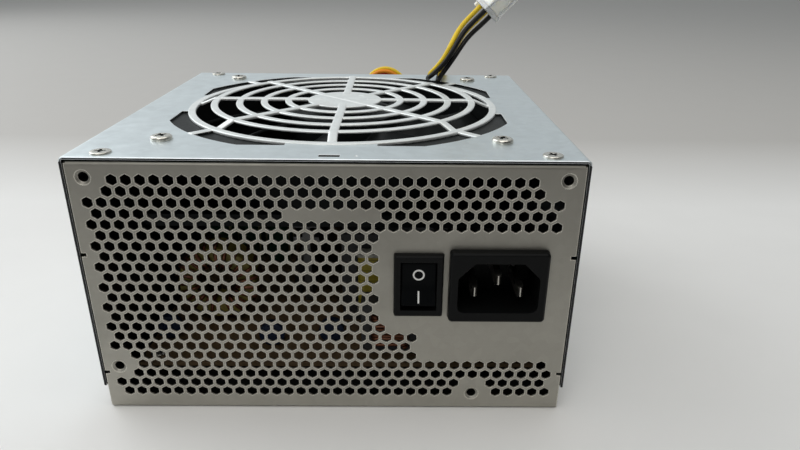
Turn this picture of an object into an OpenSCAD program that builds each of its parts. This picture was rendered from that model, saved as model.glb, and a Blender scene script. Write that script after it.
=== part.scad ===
// Computer power supply unit with a top fan, built from separate named pieces.
// Sizes are in mm. X is right, Y runs from the perforated rear panel to the cable wall, Z is up.
// The origin is on the floor under the middle of the case.

/* [Case] */
// width of the case over the cover
case_w = 150; // [148:1:170]
// depth of the case from rear panel to cable wall
case_d = 140; // [139:1:170]
// height of the case to the top plate
case_h = 86; // [84:1:100]
// thickness of the sheet steel
sheet_t = 0.8; // [0.6:0.1:1.0]
// outside radius of the folds
bend_r = 1.3; // [1.2:0.1:2]
// gap between the cover and the chassis inside it
cover_gap = 0.45; // [0.1:0.05:0.6]
// height of the side lips of the chassis
lip_h = 14; // [12:1:20]
// height of the lower edge of the cover's sides
cover_foot = 8.5; // [6:0.5:10]

/* [Rear panel] */
// distance between neighbouring hexagons
hex_pitch = 4; // [3.8:0.1:5]
// width of a hexagon across its flats
hex_flats = 3.1; // [2.6:0.1:3.3]
// distance of the top row of hexagons below the top plate
hex_drop = 6.67; // [6:0.01:8]
// distance of the outer case screw holes from the sides
mount_in = 6; // [5:0.5:7]
// radius of the case screw holes
mount_r = 1.5; // [1.4:0.05:1.7]
// length of the case screw holes behind the panel's face
mount_len = 2.4; // [2:0.1:3]

/* [Fan grille] */
// half the width of the opening in the top plate
opening_half = 58; // [57.8:0.1:59]
// radius that rounds the corners of the opening
opening_r = 64.5; // [63:0.5:66]
// height of the raised middle of the grille
grille_rise = 2; // [1:0.1:3]
// middle radius of the smallest ring
ring_first = 21.3; // [20:0.1:22]
// distance from the middle of the largest ring to the edge of the round opening
ring_clear = 6.7; // [6:0.1:8]
// width of a ring
ring_w = 2.6; // [2:0.1:3]
// width of a spoke
spoke_w = 3; // [2.4:0.1:4]
// radius of the middle disc
disc_r = 14; // [12:0.5:16]

/* [Fan] */
// position of the fan's middle along the depth
fan_y = 2; // [0:0.5:3]
// side of the fan frame
fan_size = 120; // [119:0.5:121]
// thickness of the fan frame
fan_t = 25; // [24:0.5:26]
// distance between the fan's screws
fan_pitch = 105; // [104:0.5:106]
// radius of the bore that the blades turn in
fan_bore = 57.5; // [57:0.1:58]
// radius of the rotor's hub
hub_r = 20.5; // [20:0.1:22]
// number of blades
blade_count = 7; // [5:1:9]
// radius of the fan's shaft
shaft_r = 1.5; // [1.4:0.1:1.8]
// radial clearance of the shaft in its bearing
shaft_clear = 0.05; // [0.02:0.01:0.08]

/* [Screws] */
// radius of the cover screws' shanks
cover_screw_r = 1.5; // [1.4:0.1:1.6]
// radius of the fan screws' shanks
fan_screw_r = 2; // [1.8:0.1:2.2]
// distance of the cover screws from the sides
cover_screw_in = 10.25; // [9:0.25:11]
// radial clearance of a screw in its hole
screw_clear = 0.05; // [0.03:0.01:0.1]

/* [Mains inlet] */
// distance of the inlet's middle from the right side
inlet_in = 24.2; // [23:0.1:25]
// distance of the inlet's middle below the top plate
inlet_drop = 39.4; // [37:0.1:40]
// width of the inlet's flange
inlet_w = 30; // [29.8:0.1:31]
// height of the inlet's flange
inlet_h = 23.8; // [23.6:0.1:25]
// how far the flange stands out of the panel
inlet_out = 3; // [2.5:0.1:3.5]
// width of the socket
socket_w = 24.5; // [24:0.1:25]
// height of the socket
socket_h = 16.6; // [16:0.1:17]
// depth of the socket from the flange's face
socket_deep = 16.5; // [15:0.5:17]
// distance between the two lower pins
pin_pitch = 14; // [13.8:0.1:14.2]

/* [Mains switch] */
// distance of the switch's middle from the right side
switch_in = 48.3; // [48:0.1:49]
// distance of the switch's middle below the top plate
switch_drop = 39.4; // [37:0.1:40]
// width of the bezel
bezel_w = 15.2; // [14.8:0.1:15.4]
// height of the bezel
bezel_h = 21; // [20.6:0.1:22]
// how far the bezel stands out of the panel
bezel_out = 2; // [1.5:0.1:2.4]
// width of the opening for the rocker
rocker_gap_w = 11; // [10.6:0.1:11.2]
// height of the opening for the rocker
rocker_gap_h = 16.2; // [16:0.1:17]
// radius of the rocker's two pins
rocker_pin_r = 1.2; // [1:0.1:1.4]
// angle that the rocker leans either way
rocker_lean = 10; // [8:0.5:10]
// distance of the rocker's middle crease from its pivot
rocker_face = 3.4; // [3.2:0.1:3.6]

/* [Circuit board] */
// height of the posts that carry the board
post_h = 7; // [5:0.5:8]
// thickness of the board
board_t = 1.6; // [1.2:0.1:2]
// thickness of the insulating film on the floor
film_t = 0.3; // [0.2:0.1:0.5]
// radius of the board screws' shanks
board_screw_r = 1.25; // [1.2:0.05:1.4]
// height of the heatsinks
sink_h = 40; // [34:1:41]

/* [Board parts] */
// width of the main transformer's core
transformer_w = 34; // [30:1:35]
// depth of the main transformer's core
transformer_d = 14; // [12:1:15]
// height of the main transformer
transformer_h = 36; // [32:1:38]
// width of the standby transformer and the line choke
small_core_w = 20; // [18:1:21]
// depth of the standby transformer and the line choke
small_core_d = 8; // [7:0.5:9]
// height of the standby transformer and the line choke
small_core_h = 20; // [18:1:22]
// radius of the bulk capacitors
bulk_r = 11; // [10:0.5:11.5]
// height of the bulk capacitors
bulk_h = 36; // [30:1:38]
// radius of the output capacitors
output_r = 5; // [4:0.5:5.5]
// height of the output capacitors
output_h = 24; // [20:1:28]
// outside radius of the ring choke's core
choke_out = 14; // [13:0.5:15]
// inside radius of the ring choke's core
choke_in = 8; // [7.5:0.5:8.5]
// half the width of the ring choke's core
choke_half = 5; // [4.5:0.5:5.5]
// thickness of the ring choke's wire
choke_wire = 1.5; // [1.2:0.1:1.6]

/* [Leads] */
// position of the cable grommet across the cable wall
grommet_x = 24; // [22:0.5:26]
// height of the cable grommet
grommet_z = 46; // [45:0.5:48]
// radius of the hole for the grommet
grommet_r = 9; // [9:0.1:10]
// thickness of the processor lead
cpu_d = 5; // [4.8:0.1:5.2]
// thickness of the drive lead
drive_d = 5.4; // [5:0.1:5.6]
// angle that the processor plug is rolled about its wires
plug_roll = 30; // [0:5:45]

/* [Hidden] */
$fn = 48;

half_w = case_w / 2;
half_d = case_d / 2;
base_half = half_w - sheet_t - cover_gap;
base_top = case_h - sheet_t - cover_gap;
panel_y = -half_d;
panel_in = panel_y + sheet_t;
cut_over = 0.5;
fit_gap = 0.3;
row_pitch = hex_pitch * sqrt(3) / 2;
hex_rows = 22;
hex_columns = 35;
hex_top = case_h - hex_drop;
hex_low = 4.4;
mount_x = half_w - mount_in;
mount_high = case_h - 6;
mount_low = 16;
mount_foot = [half_w - 30, 6];
mount_holes = [[-mount_x, mount_high], [mount_x, mount_high], [-mount_x, mount_low], mount_foot];
outer_ring_in = opening_half - 0.4 - ring_w;
ring_pitch = (outer_ring_in - ring_clear - ring_first) / 3;
ring_radii = [for (i = [0:3]) ring_first + i * ring_pitch];
raised_top = case_h + grille_rise;
fan_top = case_h - sheet_t;
fan_low = fan_top - fan_t;
flange_front = fan_y - fan_size / 2 - fit_gap;
flange_back = fan_y + fan_size / 2 + fit_gap;
fan_corners = [for (x = [-1, 1], y = [-1, 1]) [x * fan_pitch / 2, fan_y + y * fan_pitch / 2]];
cover_screw_x = half_w - cover_screw_in;
cover_corners = [for (x = [-1, 1], y = [-1, 1]) [x * cover_screw_x, y * (half_d - 4.5)]];
bearing_r = 3.4;
bearing_low = fan_low + 3;
bearing_top = fan_low + 15;
hub_low = fan_low + 5;
hub_top = fan_top - 1.6;
hub_wall = 1.6;
inlet_x = half_w - inlet_in;
inlet_z = case_h - inlet_drop;
switch_x = half_w - switch_in;
switch_z = case_h - switch_drop;
pin_w = 2;
pin_h = 4;
pin_low = inlet_z - 2;
pin_spots = [[-pin_pitch / 2, pin_low], [pin_pitch / 2, pin_low], [0, pin_low + 4]];
pin_tip = panel_y - inlet_out + 1.8;
pin_tail = panel_y + 24;
inlet_back = panel_y + 17;
inlet_neck_w = socket_w + 2.2;
inlet_neck_h = socket_h + 3.2;
switch_back = panel_y + 14;
switch_neck_w = rocker_gap_w + 1.8;
switch_neck_h = rocker_gap_h + 1.4;
pivot_y = panel_y + 2.5;
board_low = sheet_t + post_h;
board_top = board_low + board_t;
board_half = base_half - 6;
board_front = panel_y + 12;
board_back = half_d - 8;
posts = [for (x = [-1, 1], y = [board_front + 5, board_back - 5]) [x * (board_half - 5), y]];
wall = half_d;
lead_y = wall + 1.5;

// places on the board, from its right, left, front and back edges
function right(d) = board_half - d;
function left(d) = d - board_half;
function front(d) = board_front + d;
function back(d) = board_back - d;

// route of the processor lead: grommet, floor, tied hank, rise, bend over the cover's back edge, plug
cpu_route = [
    [21, lead_y, grommet_z], [21, wall + 6, grommet_z], [21, wall + 11, grommet_z],
    [20, wall + 21, 43], [17, wall + 30, 34],
    [13, wall + 36, 21], [6, wall + 39, 9], [-4, wall + 38, 3.8], [-16, wall + 34, 3.8],
    [-28, wall + 29.8, 4.4], [-41, wall + 34, 3.4], [-54, wall + 39.5, 2.8], [-66, wall + 37, 2.8],
    [-71, wall + 26, 2.8], [-66, wall + 15, 2.8], [-54, wall + 12.5, 2.8], [-41, wall + 18, 3.4],
    [-28, wall + 22.2, 4.4], [-15, wall + 18, 3.4], [-2, wall + 14, 2.8], [11, wall + 13, 3.4],
    [22, wall + 14, 9], [30, wall + 16, 20], [33, wall + 18, 33], [33, wall + 18, 44],
    [33, wall + 18, 56], [33.4, wall + 18, 66], [36, wall + 18.2, case_h - 11.5],
    [39.8, wall + 16.2, case_h - 4.6], [42.2, wall + 11.6, case_h + 0.9], [42.8, wall + 5.6, case_h + 3.7],
    [42, wall - 1, case_h + 4.2], [40.6, wall - 8, case_h + 3.9], [39.2, wall - 13.6, case_h + 3.2],
    [37.5, wall - 22, case_h + 2.7], [37.5, wall - 26.7, case_h + 4.1], [39.2, wall - 31, case_h + 7.7],
    [42.4, wall - 32.6, case_h + 12.7], [45.1, wall - 30.9, case_h + 17.7], [46.9, wall - 28.5, case_h + 19.9],
    [49.1, wall - 24.8, case_h + 22.9], [52.5, wall - 23, case_h + 25.7], [55.2, wall - 23, case_h + 28.4],
    [58, wall - 23, case_h + 31.2],
];
// route of the drive lead: grommet, crest behind the top edge, floor, tied hank, plug
drive_route = [
    [27, lead_y, grommet_z], [27, wall + 4, grommet_z], [27, wall + 7, grommet_z], [27, wall + 14, 49],
    [27, wall + 18, 57],
    [27, wall + 18, 66], [25, wall + 18.5, 75], [20.5, wall + 19, 81.5], [14.5, wall + 19.5, 84],
    [8.5, wall + 20.5, 81.5], [4, wall + 22, 74], [2, wall + 25, 62], [0, wall + 30, 47],
    [-3, wall + 37, 32], [-6, wall + 45, 18], [-11, wall + 51, 8], [-21, wall + 54, 3.8],
    [-34, wall + 55.4, 4.6], [-46, wall + 52, 3.6], [-57, wall + 49, 3], [-68, wall + 53, 3],
    [-72, wall + 64, 3], [-68, wall + 75, 3], [-57, wall + 78, 3], [-46, wall + 71, 3.6],
    [-34, wall + 63.6, 4.6], [-22, wall + 68, 3.6], [-8, wall + 69, 3.2], [6, wall + 69, 3.2],
    [20, wall + 69, 3.2],
];
tie_spots = [[30, wall + 18, 61], [-28, wall + 26, 4.4], [-34, wall + 59.5, 4.6]];

// box between two opposite corners
module block(low, high) {
    translate(low) cube(high - low);
}

// flat rectangle with rounded corners, between two corners
module round_rect(low, high, r) {
    translate([low[0] + r, low[1]]) square([high[0] - low[0] - 2 * r, high[1] - low[1]]);
    translate([low[0], low[1] + r]) square([high[0] - low[0], high[1] - low[1] - 2 * r]);
    for (x = [low[0] + r, high[0] - r], y = [low[1] + r, high[1] - r]) translate([x, y]) circle(r);
}

// cylinder whose axis runs along +Y from a point
module rod_y(at, r, length) {
    translate(at) rotate([-90, 0, 0]) cylinder(r = r, h = length);
}

// flat shape in x and z, pulled from one y to another
module plate_y(y0, y1) {
    translate([0, y1, 0]) rotate([90, 0, 0]) linear_extrude(y1 - y0) children();
}

// points of a smooth line through hand-set points, with n steps between each two
function spline_at(a, b, c, d, t) =
    0.5 * (2 * b + (c - a) * t + (2 * a - 5 * b + 4 * c - d) * t * t + (3 * b - a - 3 * c + d) * t * t * t);
function smooth(p, n) = concat(
    [for (i = [0:len(p) - 2], j = [0:n - 1])
        spline_at(p[max(i - 1, 0)], p[i], p[i + 1], p[min(i + 2, len(p) - 1)], j / n)],
    [p[len(p) - 1]]);
function unit(v) = v / norm(v);
function headings(p) = [for (i = [0:len(p) - 1]) unit(p[min(i + 1, len(p) - 1)] - p[max(i - 1, 0)])];
function square_to(n, t) = unit(n - (n * t) * t);
function sides_of(t, n, i = 0) =
    i == len(t) ? [] : let (m = square_to(n, t[i])) concat([m], sides_of(t, m, i + 1));

// round tube swept along a line of points
module tube(p, d, sides) {
    t = headings(p);
    n = sides_of(t, abs(t[0][0]) < 0.7 ? [1, 0, 0] : [0, 1, 0]);
    last = len(p) - 1;
    rings = [for (i = [0:last], k = [0:sides - 1])
        p[i] + d / 2 * (n[i] * cos(360 * k / sides) + cross(t[i], n[i]) * sin(360 * k / sides))];
    walls = [for (i = [0:last - 1], k = [0:sides - 1], half = [0, 1])
        let (a = i * sides + k, b = i * sides + (k + 1) % sides)
        half == 0 ? [a, a + sides, b + sides] : [a, b + sides, b]];
    caps = [for (k = [1:sides - 2], end = [0, 1])
        end == 0 ? [0, k, k + 1] : [last * sides, last * sides + k + 1, last * sides + k]];
    polyhedron(rings, concat(walls, caps));
}

// least gap of a tube to itself, between points further apart than five thicknesses along it
function self_gap(p, d, skip) = min([for (i = [0:len(p) - 1 - skip], j = [i + skip:len(p) - 1])
    norm(p[i] - p[j])]) - d;

cpu_line = smooth(cpu_route, 2);
drive_line = smooth(drive_route, 2);
echo(cpu_lead_least_gap = self_gap(cpu_line, cpu_d, 8));
echo(drive_lead_least_gap = self_gap(drive_line, drive_d, 8));

// screw with a domed head and a cross recess; its head stands on z = 0
module screw(shank_r, shank_len, head_r, head_h) {
    dome_r = (head_r * head_r + head_h * head_h) / (2 * head_h) + 1;
    difference() {
        union() {
            intersection() {
                cylinder(r = head_r, h = head_h);
                translate([0, 0, head_h - dome_r]) sphere(dome_r);
            }
            translate([0, 0, -shank_len]) cylinder(r = shank_r, h = shank_len + 0.2);
        }
        for (turn = [0, 90]) rotate(turn)
            translate([-head_r * 0.5, -head_r * 0.12, head_h * 0.45]) cube([head_r, head_r * 0.24, head_h]);
    }
}

// whether a place on the panel carries a hexagon
function clear_of_mounts(x, z) =
    min([for (i = [0:3]) norm([x, z] - mount_holes[i]) - (i == 1 ? 6.5 : 5.4)]) > 0;
function plain_zone(x, r) =
    (r == 3 && x > -13 && x < 15) || (r > 4 && r < 14 && x > switch_x - 12.3)
    || (r == 14 && x > switch_x - 10.3) || (r > 14 && r < 18 && x > switch_x - 0.3);
function hex_open(x, z, r) =
    x < half_w - (r > 17 ? 5.5 : 7.5) && x > 5 - half_w && z > hex_low && clear_of_mounts(x, z)
    && !plain_zone(x, r);
hex_spots = [for (r = [0:hex_rows - 1], k = [0:hex_columns - 1])
    let (x = hex_pitch * (k - 17.25 + (r % 2) / 2), z = hex_top - r * row_pitch)
    if (hex_open(x, z, r)) [x, z]];

// the chassis sheet before anything is cut: floor, rear panel, cable wall and top flanges
module folded_sheet() {
    translate([-base_half, 0, 0]) rotate([90, 0, 90]) linear_extrude(2 * base_half) difference() {
        round_rect([panel_y, 0], [half_d, base_top], bend_r);
        round_rect([panel_in, sheet_t], [half_d - sheet_t, base_top - sheet_t], bend_r - sheet_t);
        translate([flange_front, base_top - 2 * sheet_t]) square([flange_back - flange_front, 4 * sheet_t]);
    }
}

// rectangular opening through the rear panel round a middle
notch_heights = [55.7, 13.8];
module panel_opening(x, z, w, h) {
    block([x - w / 2, panel_y - cut_over, z - h / 2], [x + w / 2, panel_in + cut_over, z + h / 2]);
}

module base_chassis() {
    color("silver") difference() {
        union() {
            folded_sheet();
            for (side = [-1, 1])
                block([side * (base_half - sheet_t / 2) - sheet_t / 2, panel_y + 4, sheet_t / 2],
                      [side * (base_half - sheet_t / 2) + sheet_t / 2, half_d - 4, lip_h]);
            for (p = posts) translate([p[0], p[1], sheet_t / 2]) cylinder(r = 3, h = board_low - sheet_t / 2);
            for (m = mount_holes)
                rod_y([m[0], panel_y + sheet_t / 2, m[1]], mount_r + 1, mount_len - sheet_t / 2);
        }
        for (h = hex_spots) translate([h[0], panel_in + cut_over, h[1]]) rotate([90, 0, 0]) rotate(30)
            cylinder(d = hex_flats / cos(30), h = sheet_t + 2 * cut_over, $fn = 6);
        for (m = mount_holes) {
            rod_y([m[0], panel_y - 1, m[1]], mount_r, mount_len + 2);
            translate([m[0], panel_y - 0.01, m[1]]) rotate([-90, 0, 0])
                cylinder(r1 = mount_r + 0.8, r2 = mount_r, h = 0.6);
        }
        for (side = [-1, 1], z = notch_heights) panel_opening(side * base_half, z, 3, 1.2);
        panel_opening(inlet_x, inlet_z, inlet_neck_w + 2 * fit_gap, inlet_neck_h + 2 * fit_gap);
        panel_opening(switch_x, switch_z, switch_neck_w + 2 * fit_gap, switch_neck_h + 2 * fit_gap);
        rod_y([grommet_x, half_d - 2 * sheet_t, grommet_z], grommet_r, 4 * sheet_t);
        for (c = cover_corners) translate([c[0], c[1], base_top - 3])
            cylinder(r = cover_screw_r + screw_clear, h = 6);
        for (p = posts) translate([p[0], p[1], board_low - 6])
            cylinder(r = board_screw_r + screw_clear, h = 8);
    }
}

// the openings of the top plate: the round middle and the four corner windows
module top_openings() {
    translate([0, fan_y]) {
        circle(outer_ring_in);
        difference() {
            intersection() {
                square(2 * opening_half, center = true);
                circle(opening_r);
            }
            circle(opening_half - 0.4);
            square([28, 4 * opening_half], center = true);
            square([4 * opening_half, 28], center = true);
        }
    }
}

// one spoke along +X, sloping from the raised middle down to the top plate and ending at r_out
module spoke(r_out) {
    r_in = disc_r - 2;
    r_flat = ring_radii[3] + ring_w / 2;
    low = raised_top - sheet_t;
    translate([0, spoke_w / 2, 0]) rotate([90, 0, 0]) linear_extrude(spoke_w) polygon([
        [r_in, low], [r_flat, low], [outer_ring_in - 0.6, case_h - sheet_t], [r_out, case_h - sheet_t],
        [r_out, case_h], [outer_ring_in - 0.6, case_h], [r_flat, raised_top], [r_in, raised_top]]);
}

module top_cover() {
    color("gainsboro") difference() {
        union() {
            difference() {
                plate_y(panel_y, half_d) difference() {
                    round_rect([-half_w, -10], [half_w, case_h], bend_r);
                    round_rect([sheet_t - half_w, -12], [half_w - sheet_t, case_h - sheet_t], bend_r - sheet_t);
                    translate([-case_w, cover_foot - case_h]) square([2 * case_w, case_h]);
                }
                translate([0, 0, case_h - 2 * sheet_t]) linear_extrude(4 * sheet_t) top_openings();
            }
            translate([0, fan_y, 0]) {
                for (r = ring_radii) translate([0, 0, raised_top - sheet_t]) difference() {
                    cylinder(r = r + ring_w / 2, h = sheet_t);
                    translate([0, 0, -1]) cylinder(r = r - ring_w / 2, h = sheet_t + 2);
                }
                translate([0, 0, raised_top - sheet_t]) cylinder(r = disc_r, h = sheet_t);
                for (i = [0:7]) rotate(45 * i) spoke(i % 2 == 0 ? outer_ring_in + 1.2 : opening_r + 0.6);
            }
        }
        for (c = cover_corners) translate([c[0], c[1], case_h - 3]) cylinder(r = cover_screw_r + 0.2, h = 6);
        for (c = fan_corners) translate([c[0], c[1], case_h - 3]) cylinder(r = fan_screw_r + 0.2, h = 6);
        block([-2.5, panel_y + 2.6, case_h - 3], [3.5, panel_y + 4, case_h + 3]);
    }
}

module cover_screws() {
    color("lightgray") for (c = cover_corners) translate([c[0], c[1], case_h])
        screw(cover_screw_r, 5, 2.8, 0.9);
}

module fan_screws() {
    color("lightgray") for (c = fan_corners) translate([c[0], c[1], case_h])
        screw(fan_screw_r, 9, 3.3, 1.3);
}

// outline of the socket: cut upper corners, square lower ones
module socket_shape() {
    cut = 5;
    w = socket_w / 2;
    h = socket_h / 2;
    translate([inlet_x, inlet_z])
        polygon([[-w, -h], [w, -h], [w, h - cut], [w - cut, h], [cut - w, h], [-w, h - cut]]);
}

module inlet_housing() {
    color("black") difference() {
        union() {
            plate_y(panel_y - inlet_out, panel_y)
                round_rect([inlet_x - inlet_w / 2, inlet_z - inlet_h / 2],
                           [inlet_x + inlet_w / 2, inlet_z + inlet_h / 2], 1.5);
            block([inlet_x - inlet_neck_w / 2, panel_y - 0.5, inlet_z - inlet_neck_h / 2],
                  [inlet_x + inlet_neck_w / 2, inlet_back, inlet_z + inlet_neck_h / 2]);
            for (side = [-1, 1])
                block([inlet_x + side * inlet_neck_w / 2 - 0.8, panel_in + 0.1, inlet_z - 4],
                      [inlet_x + side * inlet_neck_w / 2 + 0.8, panel_in + 4, inlet_z + 4]);
        }
        plate_y(panel_y - inlet_out - cut_over, panel_y - inlet_out + socket_deep) socket_shape();
        for (p = pin_spots)
            block([inlet_x + p[0] - pin_w / 2, panel_y, p[1] - pin_h / 2],
                  [inlet_x + p[0] + pin_w / 2, inlet_back + cut_over, p[1] + pin_h / 2]);
    }
}

module inlet_pins() {
    color("silver") for (p = pin_spots) {
        block([inlet_x + p[0] - pin_w / 2, pin_tip, p[1] - pin_h / 2],
              [inlet_x + p[0] + pin_w / 2, inlet_back + 1, p[1] + pin_h / 2]);
        block([inlet_x + p[0] - 0.4, inlet_back, p[1] - pin_h / 2],
              [inlet_x + p[0] + 0.4, pin_tail, p[1] + pin_h / 2]);
    }
}

// flat terminal behind the switch, between two distances from its back
terminal_heights = [-5, 3];
module terminal(z, from, to) {
    block([switch_x - 2.4, switch_back + from, switch_z + z],
          [switch_x + 2.4, switch_back + to, switch_z + z + 0.8]);
}

module switch_bezel() {
    w = rocker_gap_w / 2;
    h = rocker_gap_h / 2;
    color("black") difference() {
        union() {
            plate_y(panel_y - bezel_out, panel_y)
                round_rect([switch_x - bezel_w / 2, switch_z - bezel_h / 2],
                           [switch_x + bezel_w / 2, switch_z + bezel_h / 2], 0.8);
            block([switch_x - switch_neck_w / 2, panel_y - 0.5, switch_z - switch_neck_h / 2],
                  [switch_x + switch_neck_w / 2, switch_back, switch_z + switch_neck_h / 2]);
        }
        block([switch_x - w, panel_y - bezel_out - cut_over, switch_z - h],
              [switch_x + w, switch_back - 1.5, switch_z + h]);
        translate([switch_x - bezel_w, pivot_y, switch_z]) rotate([0, 90, 0])
            cylinder(r = rocker_pin_r + shaft_clear, h = 2 * bezel_w);
        for (z = terminal_heights) terminal(z, -3, cut_over);
    }
}

// turns the rocker's own pose into its resting lean, upper end pressed in
module rocker_pose() {
    translate([switch_x, pivot_y, switch_z]) rotate([-rocker_lean, 0, 0]) children();
}

module switch_rocker() {
    w = rocker_gap_w / 2 - fit_gap;
    end = rocker_gap_h / 2 - 1.3;
    tip = rocker_face + end * tan(rocker_lean);
    color("black") rocker_pose() {
        rotate([90, 0, 90]) translate([0, 0, -w]) linear_extrude(2 * w)
            polygon([[-rocker_face, 0], [-tip, end], [1.5, end - 1], [1.5, 1 - end], [-tip, -end]]);
        for (side = [-1, 1]) translate([side * (w + 0.2), 0, 0]) rotate([0, 90, 0])
            cylinder(r = rocker_pin_r, h = 1.2, center = true);
    }
}

module rocker_marks() {
    ink = 0.1;
    line_w = 0.5;
    ring_up = 3;
    ring_r = 1.8;
    bar_down = 6;
    bar_h = 3.8;
    color("white") rocker_pose() translate([0, -rocker_face - 0.01, 0]) {
        rotate([90 + rocker_lean, 0, 0]) translate([0, ring_up, 0]) difference() {
            cylinder(r = ring_r, h = ink);
            translate([0, 0, -ink]) cylinder(r = ring_r - line_w, h = 3 * ink);
        }
        rotate([90 - rocker_lean, 0, 0]) translate([-line_w / 2, -bar_down, 0]) cube([line_w, bar_h, ink]);
    }
}

module switch_terminals() {
    color("gold") for (z = terminal_heights) terminal(z, -1.5, 8);
}

module mains_leads() {
    d = 2;
    color("saddlebrown") {
        tube(smooth([[inlet_x - 7, pin_tail, pin_low], [inlet_x - 7, pin_tail + 2, pin_low],
                     [inlet_x - 7, pin_tail + 5, pin_low], [inlet_x - 16, pin_tail + 8, switch_z + 2],
                     [switch_x, switch_back + 14, switch_z + 3.4], [switch_x, switch_back + 11, switch_z + 3.4],
                     [switch_x, switch_back + 8, switch_z + 3.4]], 3), d, 8);
        tube(smooth([[switch_x, switch_back + 8, switch_z - 4.6], [switch_x, switch_back + 10, switch_z - 4.6],
                     [switch_x, switch_back + 12, switch_z - 4.6],
                     [switch_x + 8, switch_back + 14, 28], [switch_x + 8, switch_back + 12, 16],
                     [switch_x + 8, switch_back + 12, board_top]], 3), d, 8);
        tube(smooth([[inlet_x + 7, pin_tail, pin_low], [inlet_x + 7, pin_tail + 2, pin_low],
                     [inlet_x + 7, pin_tail + 5, pin_low],
                     [inlet_x + 12, pin_tail + 8, 32], [inlet_x + 14, pin_tail + 6, 18],
                     [inlet_x + 14, pin_tail + 6, board_top]], 3), d, 8);
    }
}

module earth_lead() {
    color("yellowgreen")
        tube(smooth([[inlet_x, pin_tail, pin_low + 4], [inlet_x, pin_tail + 6, pin_low + 4],
                     [inlet_x - 9, pin_tail + 10, 36], [inlet_x - 10, pin_tail + 8, 20],
                     [inlet_x - 10, pin_tail + 8, board_top]], 3), 2, 8);
}

module fan_frame() {
    half = fan_size / 2;
    color("dimgray") translate([0, fan_y, 0]) difference() {
        union() {
            translate([0, 0, fan_low]) cylinder(r = fan_bore + 1.7, h = fan_t);
            for (z = [fan_low, fan_top - 4]) translate([0, 0, z]) linear_extrude(4)
                round_rect([-half, -half], [half, half], 4);
        }
        difference() {
            translate([0, 0, fan_low - 1]) cylinder(r = fan_bore, h = fan_t + 2);
            translate([0, 0, fan_low]) cylinder(r = hub_r - 1, h = 2.4);
            for (i = [0:3]) rotate(45 + 90 * i)
                block([hub_r - 3, -2.5, fan_low], [fan_bore + 1, 2.5, fan_low + 2.4]);
            translate([0, 0, fan_low]) cylinder(r = bearing_r + 1.4, h = bearing_top - fan_low);
        }
        translate([0, 0, bearing_low]) cylinder(r = bearing_r, h = fan_t);
        translate([0, 0, fan_low + 1]) cylinder(r = bearing_r - 0.4, h = fan_t);
        for (c = fan_corners) translate([c[0], c[1] - fan_y, fan_low - 1])
            cylinder(r = fan_screw_r + screw_clear, h = fan_t + 2);
    }
}

// one blade as a thin curved sheet: stations along the radius, steps along the chord
function blade_at(i, j, up) =
    let (r = hub_r - 0.8 + (fan_bore - 1.2 - hub_r + 0.8) * i / 5,
         a = -16 + 30 * i / 5 * i / 5 + (42 - 4 * i / 5) * (j / 4 - 0.5),
         z = hub_low + 2 + (hub_top - hub_low - 5) * (j / 4) * (1 - 0.06 * i) + 0.25 * i + 1.3 * up)
    [r * cos(a), r * sin(a), z];
module blade() {
    points = [for (up = [0, 1], i = [0:5], j = [0:4]) blade_at(i, j, up)];
    grid = [for (i = [0:4], j = [0:3]) [i * 5 + j, i * 5 + j + 1, i * 5 + j + 6, i * 5 + j + 5]];
    rim = concat([for (j = [0:4]) j], [for (i = [1:5]) i * 5 + 4],
                 [for (j = [3:-1:0]) 25 + j], [for (i = [4:-1:1]) i * 5]);
    polyhedron(points, concat(
        [for (q = grid) [q[0], q[3], q[1]]], [for (q = grid) [q[1], q[3], q[2]]],
        [for (q = grid) [q[0] + 30, q[1] + 30, q[3] + 30]], [for (q = grid) [q[1] + 30, q[2] + 30, q[3] + 30]],
        [for (k = [0:len(rim) - 1]) let (m = (k + 1) % len(rim)) [rim[k], rim[m], rim[m] + 30]],
        [for (k = [0:len(rim) - 1]) let (m = (k + 1) % len(rim)) [rim[k], rim[m] + 30, rim[k] + 30]]));
}

module fan_rotor() {
    color("black") translate([0, fan_y, 0]) difference() {
        union() {
            translate([0, 0, hub_low]) cylinder(r = hub_r, h = hub_top - hub_low);
            for (i = [0:blade_count - 1]) rotate(360 / blade_count * i) blade();
        }
        difference() {
            translate([0, 0, hub_low - 1]) cylinder(r = hub_r - hub_wall, h = hub_top - hub_low + 1 - hub_wall);
            translate([0, 0, bearing_top + 1]) cylinder(r = bearing_r, h = fan_t);
        }
        translate([0, 0, hub_low]) cylinder(r = shaft_r + 0.02, h = hub_top - hub_low - hub_wall / 2);
    }
}

module fan_shaft() {
    color("silver") translate([0, fan_y, bearing_low - 1.2])
        cylinder(r = shaft_r, h = hub_top - hub_wall / 2 - bearing_low + 1.2);
}

module fan_magnet() {
    color("dimgray") translate([0, fan_y, hub_low + 1]) difference() {
        cylinder(r = hub_r - hub_wall - 0.02, h = 11);
        translate([0, 0, -1]) cylinder(r = hub_r - hub_wall - 1.4, h = 13);
    }
}

module fan_retainer() {
    color("white") translate([0, fan_y, bearing_low - 1]) difference() {
        cylinder(r = bearing_r - 0.8, h = 0.6);
        translate([0, 0, -1]) cylinder(r = shaft_r + 0.02, h = 3);
    }
}

module fan_bearing() {
    color("peru") translate([0, fan_y, bearing_low]) difference() {
        cylinder(r = bearing_r - 0.02, h = bearing_top - bearing_low);
        translate([0, 0, -1]) cylinder(r = shaft_r + shaft_clear, h = fan_t);
    }
}

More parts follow.
